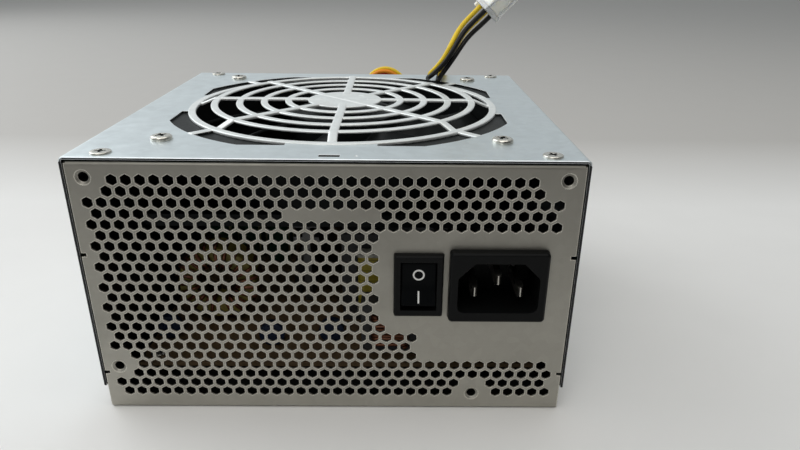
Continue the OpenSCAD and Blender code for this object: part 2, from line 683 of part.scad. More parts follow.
stator_r = hub_r - hub_wall - 2;
stator_low = fan_low + 6;
module fan_stator() {
    color("gray") translate([0, fan_y, stator_low]) difference() {
        union() {
            cylinder(r = bearing_r + 4, h = 7);
            for (i = [0:3]) rotate(90 * i) intersection() {
                cylinder(r = stator_r, h = 7);
                union() {
                    block([0, -2, 0], [stator_r + 1, 2, 7]);
                    block([stator_r - 2.2, -8, 0], [stator_r + 1, 8, 7]);
                }
            }
        }
        translate([0, 0, -1]) cylinder(r = bearing_r + 1.42, h = 9);
    }
}

module fan_coils() {
    color("orangered") translate([0, fan_y, stator_low]) for (i = [0:3]) rotate(90 * i) difference() {
        block([bearing_r + 4.4, -4, -1.4], [stator_r - 2.8, 4, 8.4]);
        block([0, -2.1, -0.1], [stator_r, 2.1, 7.1]);
    }
}

module fan_lead() {
    start = [-fan_size / 2 + 3, fan_y + 50, fan_low];
    plug = [left(14.75), back(8), board_top + header_h];
    color("black") tube(smooth([start, start - [0, 0, 8], [start[0] - 1, start[1], 36], [plug[0], plug[1], 26],
        plug + [0, 0, 5], plug], 3), 2, 8);
}

header_h = 6;
module fan_header() {
    color("white") block([left(11.25), back(11), board_top], [left(18.25), back(5), board_top + header_h]);
}

module insulating_film() {
    color("black") difference() {
        block([-board_half - 3, board_front - 3, sheet_t], [board_half + 3, board_back + 3, sheet_t + film_t]);
        for (p = posts) translate([p[0], p[1], 0]) cylinder(r = 3.4, h = 4);
    }
}

module circuit_board() {
    color("tan") difference() {
        block([-board_half, board_front, board_low], [board_half, board_back, board_top]);
        for (p = posts) translate([p[0], p[1], 0]) cylinder(r = board_screw_r + 0.3, h = case_h);
    }
}

module board_screws() {
    color("lightgray") for (p = posts) translate([p[0], p[1], board_top])
        screw(board_screw_r, board_t + 4, 2.6, 1.6);
}

// upright finned plate along Y, standing on the board
module heatsink(x) {
    plate_y(sink_front, sink_back) translate([x, board_top]) {
        translate([-1.5, 0]) square([3, sink_h]);
        for (z = [sink_h - 14, sink_h - 8, sink_h - 2]) translate([-5, z]) square([10, 2]);
    }
}

sink_front = front(43);
sink_back = back(10);
primary_x = right(28.75);
secondary_x = left(52.75);
function sink_y(share) = sink_front + share * (sink_back - sink_front);
module primary_heatsink() {
    color("silver") heatsink(primary_x);
}

module secondary_heatsink() {
    color("silver") heatsink(secondary_x);
}

// a three-legged power package lying against an upright face, facing -X
module package(x, y) {
    block([x - 1.3, y - 5, board_top + 4], [x, y + 5, board_top + 22]);
    block([x - 4.5, y - 5, board_top + 4], [x - 1.3, y + 5, board_top + 14]);
    for (leg = [-2.5, 0, 2.5])
        block([x - 3, y + leg - 0.4, board_top], [x - 2.4, y + leg + 0.4, board_top + 5]);
}

module transistors() {
    color("black") for (share = [0.34, 0.58, 0.82]) package(primary_x - 1.5, sink_y(share));
}

module rectifiers() {
    color("black") for (share = [0.13, 0.37, 0.61, 0.85]) package(secondary_x - 1.5, sink_y(share));
}

module bridge_rectifier() {
    color("black") block([right(25.75), front(34), board_top], [right(5.75), front(38), board_top + 18]);
}

// double-E core with a wound middle leg: w along X, h up, d along Y
module core_shape(at, w, d, h) {
    leg = w / 6;
    translate([at[0], at[1], board_top]) difference() {
        block([-w / 2, -d / 2, 0], [w / 2, d / 2, h]);
        for (side = [-1, 1])
            block([side * w / 4 - leg / 2, -d, leg], [side * w / 4 + leg / 2, d, h - leg]);
    }
}

module winding_shape(at, w, d, h) {
    leg = w / 6;
    inner = w / 4 - leg / 2;
    outer = w / 4 + leg / 2;
    translate([at[0], at[1], board_top]) difference() {
        block([-outer, -d / 2 - leg, leg], [outer, d / 2 + leg, h - leg]);
        block([-inner, -d / 2, 0], [inner, d / 2, h]);
    }
}

transformer_at = [right(50.75), front(35)];
standby_at = [(primary_x + secondary_x) / 2 - 4, back(44)];
line_choke_at = [right(49.75), front(10)];

module transformer_core() {
    color("dimgray") core_shape(transformer_at, transformer_w, transformer_d, transformer_h);
}

module transformer_winding() {
    color("gold") winding_shape(transformer_at, transformer_w, transformer_d, transformer_h);
}

module standby_core() {
    color("dimgray") core_shape(standby_at, small_core_w, small_core_d, small_core_h);
}

module standby_winding() {
    color("gold") winding_shape(standby_at, small_core_w, small_core_d, small_core_h);
}

module line_choke_core() {
    color("dimgray") core_shape(line_choke_at, small_core_w, small_core_d, small_core_h);
}

module line_choke_winding() {
    color("orange") winding_shape(line_choke_at, small_core_w, small_core_d, small_core_h);
}

// ring core standing up, with its wire wound round it
choke_at = [left(21.75), front(30), board_top + choke_out + choke_wire + 1.7];
choke_turns = 16;
module ring_choke_core() {
    color("khaki") translate(choke_at) rotate([90, 0, 0]) translate([0, 0, -choke_half]) difference() {
        cylinder(r = choke_out, h = 2 * choke_half);
        translate([0, 0, -1]) cylinder(r = choke_in, h = 2 * choke_half + 2);
    }
}

// corners of one turn round the core's section: radius and place along Y
turn_gap = choke_wire / 2 + 0.35;
turn_out = choke_out + turn_gap;
turn_in = choke_in - turn_gap;
turn_side = choke_half + turn_gap;
turn_corners = [
    [turn_out, 0], [turn_out, turn_side - 0.9], [turn_out - 0.9, turn_side],
    [turn_in + 0.9, turn_side], [turn_in, turn_side - 0.9], [turn_in, 0],
    [turn_in, 0.9 - turn_side], [turn_in + 0.9, -turn_side],
    [turn_out - 0.9, -turn_side], [turn_out, 0.9 - turn_side],
];
choke_leg = turn_out * cos(80);
choke_line = concat(
    [[choke_at[0] + choke_leg, choke_at[1], board_top]],
    [for (i = [0:10 * choke_turns]) let (a = -80 + 340 * i / (10 * choke_turns), c = turn_corners[i % 10])
        choke_at + [c[0] * cos(a), c[1], c[0] * sin(a)]],
    [[choke_at[0] - choke_leg, choke_at[1], board_top]]);
echo(ring_choke_least_gap = self_gap(choke_line, choke_wire, 6));
module ring_choke_winding() {
    color("chocolate") tube(choke_line, choke_wire, 6);
}

bulk_spots = [[right(11.75), front(54)], [right(11.75), front(79)]];
module bulk_capacitors() {
    color("black") for (p = bulk_spots) translate([p[0], p[1], board_top]) cylinder(r = bulk_r, h = bulk_h);
}

module bulk_tops() {
    color("silver") for (p = bulk_spots) translate([p[0], p[1], board_top + bulk_h])
        cylinder(r1 = bulk_r - 0.6, r2 = bulk_r - 1.2, h = 0.6);
}

output_spots = [for (x = [34.75, 21.75, 8.75], y = [40, 26]) [left(x), back(y)]];
module output_capacitors() {
    color("darkgreen") for (p = output_spots) translate([p[0], p[1], board_top])
        cylinder(r = output_r, h = output_h);
}

module output_tops() {
    color("silver") for (p = output_spots) translate([p[0], p[1], board_top + output_h])
        cylinder(r1 = output_r - 0.4, r2 = output_r - 0.8, h = 0.4);
}

module line_capacitor() {
    color("gold") block([right(27.75), front(4), board_top], [right(9.75), front(12), board_top + 15]);
}

module disc_capacitors() {
    color("royalblue") for (p = [[-3, front(12)], [-24, front(10)], [left(5.75), front(14)]])
        rod_y([p[0], p[1], board_top + 4.7], 4.5, 3);
}

fuse_y = front(27);
fuse_x = right(26.75);
module fuse_glass() {
    color("white") translate([fuse_x + 5, fuse_y, board_top + 4]) rotate([0, 90, 0]) cylinder(r = 2.3, h = 10);
}

module fuse_caps() {
    color("silver") for (x = [fuse_x, fuse_x + 15]) {
        translate([x, fuse_y, board_top + 4]) rotate([0, 90, 0]) cylinder(r = 2.6, h = 5);
        block([x + 1, fuse_y - 1, board_top], [x + 4, fuse_y + 1, board_top + 3]);
    }
}

module thermistor() {
    color("darkolivegreen") rod_y([right(33.65), front(4), board_top + 5.7], 5.5, 4);
}

module control_chips() {
    color("black") for (p = [[secondary_x + 7, back(22)], [secondary_x + 25, back(30)]])
        block([p[0], p[1], board_top], [p[0] + 6.4, p[1] + 19, board_top + 3.5]);
}

module cable_grommet() {
    color("black") translate([grommet_x, 0, grommet_z]) rotate([-90, 0, 0]) rotate_extrude() polygon([
        [grommet_r - 1.8, half_d - sheet_t - 2], [grommet_r + 1.2, half_d - sheet_t - 2],
        [grommet_r + 1.2, half_d - sheet_t], [grommet_r - 0.02, half_d - sheet_t], [grommet_r - 0.02, half_d],
        [grommet_r + 2.4, half_d], [grommet_r + 2.4, half_d + 0.9], [grommet_r + 1.8, lead_y],
        [grommet_r - 1.8, lead_y]]);
}

module inner_wires() {
    color("gold") {
        tube(smooth([[20, back(6), board_top], [20, back(6), 20], [20, back(6), 31],
                     [20.4, half_d - 11, grommet_z - 4],
                     [21, half_d - 5, grommet_z], [21, half_d - 2, grommet_z], [21, lead_y, grommet_z]], 2),
             cpu_d, 10);
        tube(smooth([[31, back(6), board_top], [31, back(6), 20], [30.6, back(6), 31],
                     [28, half_d - 11, grommet_z - 4],
                     [27, half_d - 5, grommet_z], [27, half_d - 2, grommet_z], [27, lead_y, grommet_z]], 2),
             drive_d, 10);
    }
}

module cpu_lead() {
    color("gold") tube(cpu_line, cpu_d, 10);
}

module drive_lead() {
    color("orange") tube(drive_line, drive_d, 10);
}

// four-way plug: body on its wire end at z = 0, with a latch on the far side
module cpu_plug() {
    last = cpu_route[len(cpu_route) - 1];
    color("ivory") translate(last) rotate([0, 45, 0]) rotate(plug_roll) difference() {
        union() {
            block([-4.6, -4.6, 0], [4.6, 4.6, 19]);
            block([-4.9, -4.9, 0], [4.9, 4.9, 2]);
            block([-2, 5.7, -1.5], [2, 6.9, 14.9]);
            block([-2, 4.5, 6.5], [2, 6.9, 9]);
        }
        for (x = [-2.1, 2.1], y = [-2.1, 2.1]) block([x - 1.4, y - 1.4, 9], [x + 1.4, y + 1.4, 20]);
    }
}

module drive_plug() {
    last = drive_route[len(drive_route) - 1];
    color("black") difference() {
        union() {
            block(last + [0, -11, -3], last + [9, 11, 3.2]);
            block(last + [8, -11.6, -3.1], last + [17, 11.6, 3.4]);
        }
        block(last + [10, -10, -0.4], last + [18, 10, 2.2]);
    }
}

// band round two leads lying side by side, with its locking head; the band lies flat on z = 0
module tie(gap, r) {
    thick = 1;
    linear_extrude(2.6, center = true) difference() {
        union() {
            for (side = [-1, 1]) translate([side * gap / 2, 0]) circle(r + thick);
            square([gap, 2 * (r + thick)], center = true);
        }
        for (side = [-1, 1]) translate([side * gap / 2, 0]) circle(r);
        square([gap, 2 * r], center = true);
    }
    block([-2, r + thick / 2, -2], [2, r + thick + 2.6, 2]);
}

module lead_ties() {
    color("black") {
        translate(tie_spots[0]) tie(6, drive_d / 2 + 0.4);
        translate(tie_spots[1]) rotate([90, 0, 90]) tie(7.6, cpu_d / 2 + 0.4);
        translate(tie_spots[2]) rotate([90, 0, 90]) tie(8.2, drive_d / 2 + 0.8);
    }
}

base_chassis();
top_cover();
cover_screws();
fan_screws();
inlet_housing();
inlet_pins();
switch_bezel();
switch_rocker();
rocker_marks();
switch_terminals();
mains_leads();
earth_lead();
fan_frame();
fan_rotor();
fan_shaft();
fan_magnet();
fan_retainer();
fan_bearing();
fan_stator();
fan_coils();
fan_lead();
fan_header();
insulating_film();
circuit_board();
board_screws();
primary_heatsink();
secondary_heatsink();
transistors();
rectifiers();
bridge_rectifier();
transformer_core();
transformer_winding();
standby_core();
standby_winding();
line_choke_core();
line_choke_winding();
ring_choke_core();
ring_choke_winding();
bulk_capacitors();
bulk_tops();
output_capacitors();
output_tops();
line_capacitor();
disc_capacitors();
fuse_glass();
fuse_caps();
thermistor();
control_chips();
cable_grommet();
inner_wires();
cpu_lead();
cpu_plug();
drive_lead();
drive_plug();
lead_ties();
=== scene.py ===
# Power supply unit: camera, leads, finishes and modelled pieces around its imported frame.
# Sizes are in millimetres, and the helpers turn them into metres; lamps, floor and shader sums are in metres.
import math

import bmesh
import bpy
from mathutils import Matrix, Vector


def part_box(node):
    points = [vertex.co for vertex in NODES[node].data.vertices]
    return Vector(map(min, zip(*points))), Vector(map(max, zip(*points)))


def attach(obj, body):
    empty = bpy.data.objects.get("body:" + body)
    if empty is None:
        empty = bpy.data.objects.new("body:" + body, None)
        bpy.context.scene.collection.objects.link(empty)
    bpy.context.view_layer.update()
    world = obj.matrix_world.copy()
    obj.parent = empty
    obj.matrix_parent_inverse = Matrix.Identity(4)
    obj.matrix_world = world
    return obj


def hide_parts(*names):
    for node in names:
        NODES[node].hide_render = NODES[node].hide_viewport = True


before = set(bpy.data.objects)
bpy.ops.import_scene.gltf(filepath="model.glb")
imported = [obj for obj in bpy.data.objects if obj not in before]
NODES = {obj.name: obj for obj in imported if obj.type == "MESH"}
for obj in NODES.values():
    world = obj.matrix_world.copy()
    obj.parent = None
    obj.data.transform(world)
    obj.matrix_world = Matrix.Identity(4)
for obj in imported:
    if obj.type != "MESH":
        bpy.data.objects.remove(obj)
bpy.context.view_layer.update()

MM = 0.001

# Main sizes, the same as in the part's source
HALF_W = 75
HALF_D = 70
CASE_H = 86
SHEET = 0.8
BEND = 1.3
COVER_FOOT = 8.5
FAN_Y = 2
BOARD_TOP = 9.4
GRILLE_RISE = 2
RAISED_TOP = CASE_H + GRILLE_RISE
RING_MIDDLES = (21.3, 30.3, 39.3, 48.3)
RING_W = 2.6
OUTER_RING_IN = 55
OUTER_RING_OUT = 57.6
WINDOW_HALF = 58
WINDOW_R = 64.5
WINDOW_SKIP = 14
SPOKE_W = 3
DISC_R = 14
PANEL_Y = -HALF_D
WALL = HALF_D
INLET = (50.8, 46.6)
SWITCH = (26.7, 46.6)
PIVOT_Y = PANEL_Y + 2.5
ROCKER_LEAN = 10
CPU_D = 5
DRIVE_D = 5.4
# How far the sheets' inner faces reach from the middle of the case: low down, under the cover, at the seams;
# within these bounds the sheet takes painted shade
INNER_HALF_W = 73.1
COVERED_HALF_W = 74.4
SEAM_HALF_W = 73.2
INNER_HALF_D = 69.4
SEAM_HALF_D = 69.8
INNER_FLOOR = 0.4
INNER_TOP = 85.3


def mm(x, y, z):
    """A point given in millimetres, in metres."""
    return Vector((x, y, z)) * MM


# Camera at the photograph's viewing angle


def set_camera():
    right = Vector((0.9999, -0.0065, 0.0108))
    up = Vector((-0.0074, 0.3904, 0.9206))
    back = Vector((-0.0101, -0.9206, 0.3904))
    lens = bpy.data.cameras.new("camera")
    lens.sensor_width = 36
    lens.lens = 28.41
    lens.clip_start = 0.01
    camera = bpy.data.objects.new("camera", lens)
    camera.rotation_mode = "QUATERNION"
    camera.rotation_quaternion = Matrix((right, up, back)).transposed().to_quaternion()
    camera.location = mm(19.01, -239.93, 138.20)
    bpy.context.scene.collection.objects.link(camera)
    bpy.context.scene.camera = camera


# Shader nodes written as sums


class Socket:
    """A node's output that takes part in Python sums: each operator adds a Math node."""

    def __init__(self, finish, output):
        self.finish = finish
        self.output = output

    def sum(self, operation, first, second):
        return self.finish.node("ShaderNodeMath", {"operation": operation}, {0: first, 1: second})

    def __add__(self, other):
        return self.sum("ADD", self, other)

    def __radd__(self, other):
        return self.sum("ADD", other, self)

    def __sub__(self, other):
        return self.sum("SUBTRACT", self, other)

    def __rsub__(self, other):
        return self.sum("SUBTRACT", other, self)

    def __mul__(self, other):
        return self.sum("MULTIPLY", self, other)

    def __rmul__(self, other):
        return self.sum("MULTIPLY", other, self)

    def __gt__(self, other):
        return self.sum("GREATER_THAN", self, other)

    def __lt__(self, other):
        return self.sum("LESS_THAN", self, other)

    def __abs__(self):
        return self.sum("ABSOLUTE", self, 0)


class Finish:
    """One procedural material on a Principled shader, and the one method that adds nodes to it."""

    def __init__(self, name, tree=None):
        if tree is None:
            self.material = bpy.data.materials.new(name)
            self.material.use_nodes = True
            tree = self.material.node_tree
            self.shader = tree.nodes["Principled BSDF"]
        self.tree = tree

    def node(self, kind, settings=None, sockets=None, out=0):
        made = self.tree.nodes.new(kind)
        for name, value in (settings or {}).items():
            if name == "stops":
                self.set_stops(made.color_ramp, value)
            else:
                setattr(made, name, value)
        for key, value in (sockets or {}).items():
            self.feed(made.inputs[key], value)
        return Socket(self, made.outputs[out])

    def set_stops(self, ramp, stops):
        while len(ramp.elements) < len(stops):
            ramp.elements.new(0.5)
        for element, (place, colour) in zip(ramp.elements, stops):
            element.position = place
            element.color = colour

    def feed(self, socket, value):
        if isinstance(value, Socket):
            self.tree.links.new(value.output, socket)
        else:
            socket.default_value = value

    def set(self, **sockets):
        for name, value in sockets.items():
            self.feed(self.shader.inputs[name.replace("_", " ")], value)
        return self.material

    def place(self):
        return self.node("ShaderNodeTexCoord", out="Object")

    def along(self, axis, vector=None):
        return self.node("ShaderNodeSeparateXYZ", None, {0: vector or self.place()}, out=axis)

    def stretched(self, x, y, z):
        return self.node("ShaderNodeMapping", None, {"Vector": self.place(), "Scale": (x, y, z)})

    def noise(self, scale, detail=3.0, vector=None):
        sockets = {"Vector": vector or self.place(), "Scale": scale, "Detail": detail}
        return self.node("ShaderNodeTexNoise", None, sockets)

    def cells(self, scale, vector=None):
        sockets = {"Vector": vector or self.place(), "Scale": scale}
        return self.node("ShaderNodeTexVoronoi", None, sockets, out="Color")

    def blend(self, factor, low, high):
        return self.node("ShaderNodeMix", {"data_type": "RGBA"}, {0: factor, 6: low, 7: high}, out=2)

    def steps(self, value, low, high):
        stops = [(low, (0, 0, 0, 1)), (high, (1, 1, 1, 1))]
        return self.node("ShaderNodeValToRGB", {"stops": stops}, {0: value})

    def rounded(self, radius):
        """A normal that rounds sharp edges over a radius in millimetres."""
        return self.node("ShaderNodeBevel", {"samples": 4}, {"Radius": radius * MM})

    def edge(self, normal):
        """How far a rounded normal turns away from the face: 0 on flats, more along edges."""
        plain = self.node("ShaderNodeNewGeometry", out="Normal")
        product = {"operation": "DOT_PRODUCT"}
        return 1 - self.node("ShaderNodeVectorMath", product, {0: normal, 1: plain}, out="Value")

    def bump(self, height, strength, distance, normal=None):
        sockets = {"Height": height, "Strength": strength, "Distance": distance * MM}
        if normal is not None:
            sockets["Normal"] = normal
        return self.node("ShaderNodeBump", None, sockets)


def tint(colour, factor):
    return tuple(min(1, channel * factor) for channel in colour[:3]) + (1,)


def sheet_steel(name, colour, rough, edge_radius=0.3, edge_highlight_tone=1.7, metal=0.92, top_shade=0.0):
    """Plated sheet: soft crystal patches, faint rolling lines, stains, paler edges that are a painted
    highlight, and painted shade inside the case and in its seams. Metal is how metallic it is, and top_shade
    is how much painted shade darkens it towards the top."""
    finish = Finish(name)
    patches = finish.noise(220, 2)
    crystals = finish.cells(420)
    crystal_tone = finish.node("ShaderNodeSeparateColor", None, {0: crystals})
    lines = finish.noise(300, 4, finish.stretched(0.15, 1, 6))
    stains = finish.steps(finish.noise(45, 5), 0.45, 0.75)
    tone = 0.5 * patches + 0.3 * crystal_tone + 0.2 * lines
    rounded = finish.rounded(edge_radius)
    # Paler edges: a painted highlight where the rounded edges catch the light; these edges also lose some
    # metal
    highlit_edge = finish.steps(finish.edge(rounded), 0.002, 0.06)
    plain = finish.blend(tone, tint(colour, 0.9), tint(colour, 1.1))
    stained = finish.blend(stains * 0.35, plain, tint(colour, 0.78))
    height = finish.along("Z")
    # Painted shade: the sheet darkens towards the top
    upper = finish.steps(height * (1 / (CASE_H * MM)), 0.0, 1.0)
    shaded_top = finish.blend(upper * top_shade, stained, tint(colour, 0.3))
    outside = finish.blend(highlit_edge * 0.85, shaded_top, tint(colour, edge_highlight_tone))
    # Painted shade inside the case and in the seams between the chassis and the cover: the colour goes almost
    # black there
    covered = height > (COVER_FOOT + 0.1) * MM
    across = abs(finish.along("X"))
    at_seam = across > SEAM_HALF_W * MM
    between_sides = across < INNER_HALF_W * MM + (COVERED_HALF_W - INNER_HALF_W) * MM * covered
    between_walls = abs(finish.along("Y")) < INNER_HALF_D * MM + (SEAM_HALF_D - INNER_HALF_D) * MM * at_seam
    inside = between_sides * between_walls * (height < INNER_TOP * MM) * (height > INNER_FLOOR * MM)
    return finish.set(
        Base_Color=finish.blend(inside * 0.95, outside, tint(colour, 0.05)),
        Metallic=metal - 0.6 * metal * highlit_edge,
        Roughness=rough + 0.16 * (patches - 0.5) + 0.1 * (stains - 0.3),
        Normal=finish.bump(lines * 0.4 + patches, 0.05, 0.4, rounded),
    )


def bright_metal(name, colour, rough, edge_radius=0.12):
    """Plated or polished small metal parts, with fine scratches and dull patches."""
    finish = Finish(name)
    dull = finish.noise(380, 4)
    scratches = finish.steps(finish.noise(900, 2, finish.stretched(1, 0.12, 0.12)), 0.55, 0.8)
    rounded = finish.rounded(edge_radius)
    return finish.set(
        Base_Color=finish.blend(dull, tint(colour, 0.82), tint(colour, 1.12)),
        Metallic=1.0,
        Roughness=rough + 0.25 * (dull - 0.5) + 0.08 * scratches,
        Normal=finish.bump(scratches, 0.08, 0.05, rounded),
    )


def moulded(name, colour, rough, grain=1600, depth=0.25, edge_radius=0.2, shine=0.5, glow=0.0):
    """Moulded plastic: fine spark-eroded grain, slight flow marks, softer edges with a painted highlight on
    them; glow lets light through.
    """
    finish = Finish(name)
    texture = finish.noise(grain, 2)
    flow = finish.noise(90, 3)
    rounded = finish.rounded(edge_radius)
    highlit_edge = finish.steps(finish.edge(rounded), 0.03, 0.4)
    toned = finish.blend(flow, tint(colour, 0.85), tint(colour, 1.15))
    # Paler edge colour: a painted highlight
    pale = tuple(min(1, 1.5 * channel + 0.02) for channel in colour[:3]) + (1,)
    return finish.set(
        Base_Color=finish.blend(highlit_edge * 0.5, toned, pale),
        Roughness=rough + 0.14 * (texture - 0.5) + 0.1 * (flow - 0.5),
        Specular_IOR_Level=shine,
        Subsurface_Weight=glow,
        Subsurface_Radius=(1.0, 0.9, 0.7),
        Subsurface_Scale=4 * MM,
        Normal=finish.bump(texture, depth, 0.03, rounded),
    )


def insulation(name, colour, rough=0.38):
    """Extruded wire insulation: slight draw lines and scuffs."""
    finish = Finish(name)
    scuffs = finish.noise(260, 4)
    fine = finish.noise(1500, 2)
    return finish.set(
        Base_Color=finish.blend(scuffs, tint(colour, 0.82), tint(colour, 1.12)),
        Roughness=rough + 0.25 * (scuffs - 0.5),
        Specular_IOR_Level=0.25,
        Normal=finish.bump(fine, 0.12, 0.04),
    )


def enamel_wire(name, colour):
    """Lacquered copper wire: warm metal under a thin clear coat."""
    finish = Finish(name)
    burn = finish.noise(140, 3)
    return finish.set(
        Base_Color=finish.blend(burn, tint(colour, 0.7), tint(colour, 1.15)),
        Metallic=0.85,
        Roughness=0.25 + 0.2 * burn,
        Coat_Weight=0.4,
    )


def layered_tape(name, colour):
    """Polyester tape wound in layers: overlap lines round the winding, with dull and shiny bands."""
    finish = Finish(name)
    height = finish.along("Z")
    waver = finish.noise(120, 2) * 0.0006
    bands = finish.node("ShaderNodeMath", {"operation": "PINGPONG"}, {0: height + waver, 1: 0.0021})
    line = finish.steps(bands * 476, 0.02, 0.16)
    mottled = finish.noise(200, 3)
    toned = finish.blend(mottled, tint(colour, 0.85), tint(colour, 1.1))
    return finish.set(
        Base_Color=finish.blend(line, tint(colour, 0.5), toned),
        Roughness=0.3 + 0.25 * mottled,
        Normal=finish.bump(line, 0.3, 0.15),
    )


def circuit_board_finish(name):
    """Paper-based board: tan, cloudy, with faint tracks showing through."""
    finish = Finish(name)
    cloud = finish.noise(60, 4)
    fibre = finish.noise(900, 2, finish.stretched(1, 0.2, 1))
    tracks = finish.steps(finish.noise(42, 0, finish.stretched(1, 1, 0.01)), 0.5, 0.52)
    # The tan is darkened as painted shade for the inside of the case
    tan = finish.blend(cloud, (0.13, 0.08, 0.035, 1), (0.19, 0.12, 0.06, 1))
    traced = finish.blend(tracks * 0.25, tan, (0.10, 0.07, 0.03, 1))
    return finish.set(
        Base_Color=finish.blend(fibre * 0.25, traced, (0.21, 0.155, 0.09, 1)),
        Roughness=0.45 + 0.2 * cloud,
        Normal=finish.bump(fibre, 0.12, 0.05, finish.rounded(0.15)),
    )


def sleeve(name, colour, stripe):
    """Heat-shrunk sleeve of a capacitor: glossy skin with a paler stripe down one side."""
    finish = Finish(name)
    across = finish.node("ShaderNodeMath", {"operation": "PINGPONG"}, {0: finish.along("Y"), 1: 0.007})
    band = finish.steps(across * 142, 0.8, 0.84)
    wrinkle = finish.noise(240, 3, finish.stretched(1, 1, 0.3))
    toned = finish.blend(wrinkle, tint(colour, 0.8), tint(colour, 1.2))
    return finish.set(
        Base_Color=finish.blend(band, toned, stripe),
        Roughness=0.22 + 0.2 * wrinkle,
        Normal=finish.bump(wrinkle, 0.12, 0.2, finish.rounded(0.5)),
    )


def painted_mark(name):
    """White pad-printed ink: slightly uneven cover."""
    finish = Finish(name)
    cover = finish.noise(1400, 3)
    return finish.set(
        Base_Color=finish.blend(cover, (0.66, 0.66, 0.64, 1), (0.86, 0.86, 0.84, 1)),
        Roughness=0.5 + 0.2 * (cover - 0.5),
    )


def glass_tube(name):
    """Clear fuse glass, faintly green."""
    finish = Finish(name)
    haze = finish.noise(500, 3)
    return finish.set(
        Base_Color=(0.85, 0.92, 0.88, 1),
        Transmission_Weight=0.9,
        Roughness=0.05 + 0.12 * haze,
        IOR=1.5,
    )


def make_finishes():
    return {
        # The panel's steel is darker than the cover's: partly painted shade for the front, which faces the
        # dim room
        "panel": sheet_steel("galvanised_panel", (0.43, 0.415, 0.37, 1), 0.52, 0.45, 2.3, top_shade=0.5),
        "cover": sheet_steel("plated_cover", (0.75, 0.81, 0.83, 1), 0.40),
        # The grille's paler colour than the cover's is a painted highlight for its rounded rings catching the
        # light
        "grille": sheet_steel("pressed_grille", (0.85, 0.88, 0.875, 1), 0.42, metal=0.55),
        # Dark raw steel for cut edges, also used as painted shade in the cover's slot, windows and gaps and
        # in screw recesses
        "cut_edge_and_shade": bright_metal("raw_cut_steel_and_shade", (0.04, 0.04, 0.042, 1), 0.5),
        "screw": bright_metal("screw_zinc", (0.70, 0.68, 0.62, 1), 0.26),
        "contact": bright_metal("contact_nickel", (0.48, 0.46, 0.42, 1), 0.3),
        "shaft": bright_metal("shaft_steel", (0.62, 0.62, 0.63, 1), 0.2),
        "stator": bright_metal("stator_steel", (0.32, 0.32, 0.33, 1), 0.4),
        "bronze": bright_metal("sintered_bronze", (0.52, 0.33, 0.16, 1), 0.45),
        # Dull aluminium, darkened further as painted shade for the inside of the case
        "aluminium": bright_metal("sink_aluminium", (0.19, 0.19, 0.195, 1), 0.46, 0.25),
        "can_top": bright_metal("can_aluminium", (0.45, 0.46, 0.47, 1), 0.4, 0.3),
        "housing": moulded("inlet_plastic", (0.0045, 0.0048, 0.005, 1), 0.42, 1500, 0.3, shine=0.1),
        "rocker": moulded("rocker_plastic", (0.004, 0.0045, 0.005, 1), 0.3, 700, 0.05, shine=0.03),
        "fan": moulded("fan_plastic", (0.009, 0.0105, 0.0108, 1), 0.42, 1200, 0.15, 0.3, shine=0.12),
        "grommet": moulded("grommet_nylon", (0.015, 0.015, 0.016, 1), 0.4, 1200, 0.15, 0.3),
        "package": moulded("package_epoxy", (0.02, 0.02, 0.021, 1), 0.5, 1800, 0.3, 0.2),
        "magnet": moulded("bonded_magnet", (0.05, 0.048, 0.046, 1), 0.55, 1500, 0.3, 0.2),
        "ferrite": moulded("ferrite_core", (0.045, 0.045, 0.048, 1), 0.55, 900, 0.4, 0.3),
        "powder": moulded("powder_core", (0.30, 0.24, 0.05, 1), 0.5, 900, 0.35, 0.5),
        "natural": moulded("natural_nylon", (0.92, 0.90, 0.80, 1), 0.34, 700, 0.06, 0.3, glow=0.7),
        "connector": moulded("connector_black", (0.016, 0.016, 0.017, 1), 0.36, 1200, 0.15, 0.2),
        "header": moulded("header_white", (0.55, 0.53, 0.47, 1), 0.42, 900, 0.1, 0.2),
        "film": moulded("insulating_sheet", (0.02, 0.02, 0.021, 1), 0.3, 300, 0.08, 0.1),
        "film_capacitor": moulded("film_capacitor", (0.46, 0.37, 0.05, 1), 0.35, 600, 0.1, 0.5),
        "disc_blue": moulded("disc_blue", (0.006, 0.017, 0.05, 1), 0.3, 500, 0.1, 0.6),
        "disc_green": moulded("disc_green", (0.05, 0.10, 0.05, 1), 0.4, 500, 0.15, 0.6),
        "tie": moulded("tie_nylon", (0.018, 0.018, 0.019, 1), 0.35, 900, 0.1, 0.15),
        "tape": layered_tape("winding_tape", (0.55, 0.44, 0.05, 1)),
        "copper": enamel_wire("enamelled_copper", (0.21, 0.075, 0.036, 1)),
        "board": circuit_board_finish("board_paper"),
        "sleeve_black": sleeve("sleeve_black", (0.018, 0.018, 0.02, 1), (0.55, 0.56, 0.56, 1)),
        "sleeve_green": sleeve("sleeve_green", (0.02, 0.09, 0.05, 1), (0.62, 0.58, 0.36, 1)),
        "mark": painted_mark("mark_ink"),
        "glass": glass_tube("fuse_glass"),
        "yellow": insulation("wire_yellow", (0.88, 0.62, 0.035, 1)),
        "black": insulation("wire_black", (0.005, 0.005, 0.0055, 1)),
        "red": insulation("wire_red", (0.58, 0.025, 0.02, 1)),
        "orange": insulation("wire_orange", (0.85, 0.28, 0.02, 1)),
        "brown": insulation("wire_brown", (0.16, 0.06, 0.025, 1)),
        "blue": insulation("wire_blue", (0.03, 0.12, 0.48, 1)),
        "earth": insulation("wire_earth", (0.36, 0.50, 0.04, 1)),
    }


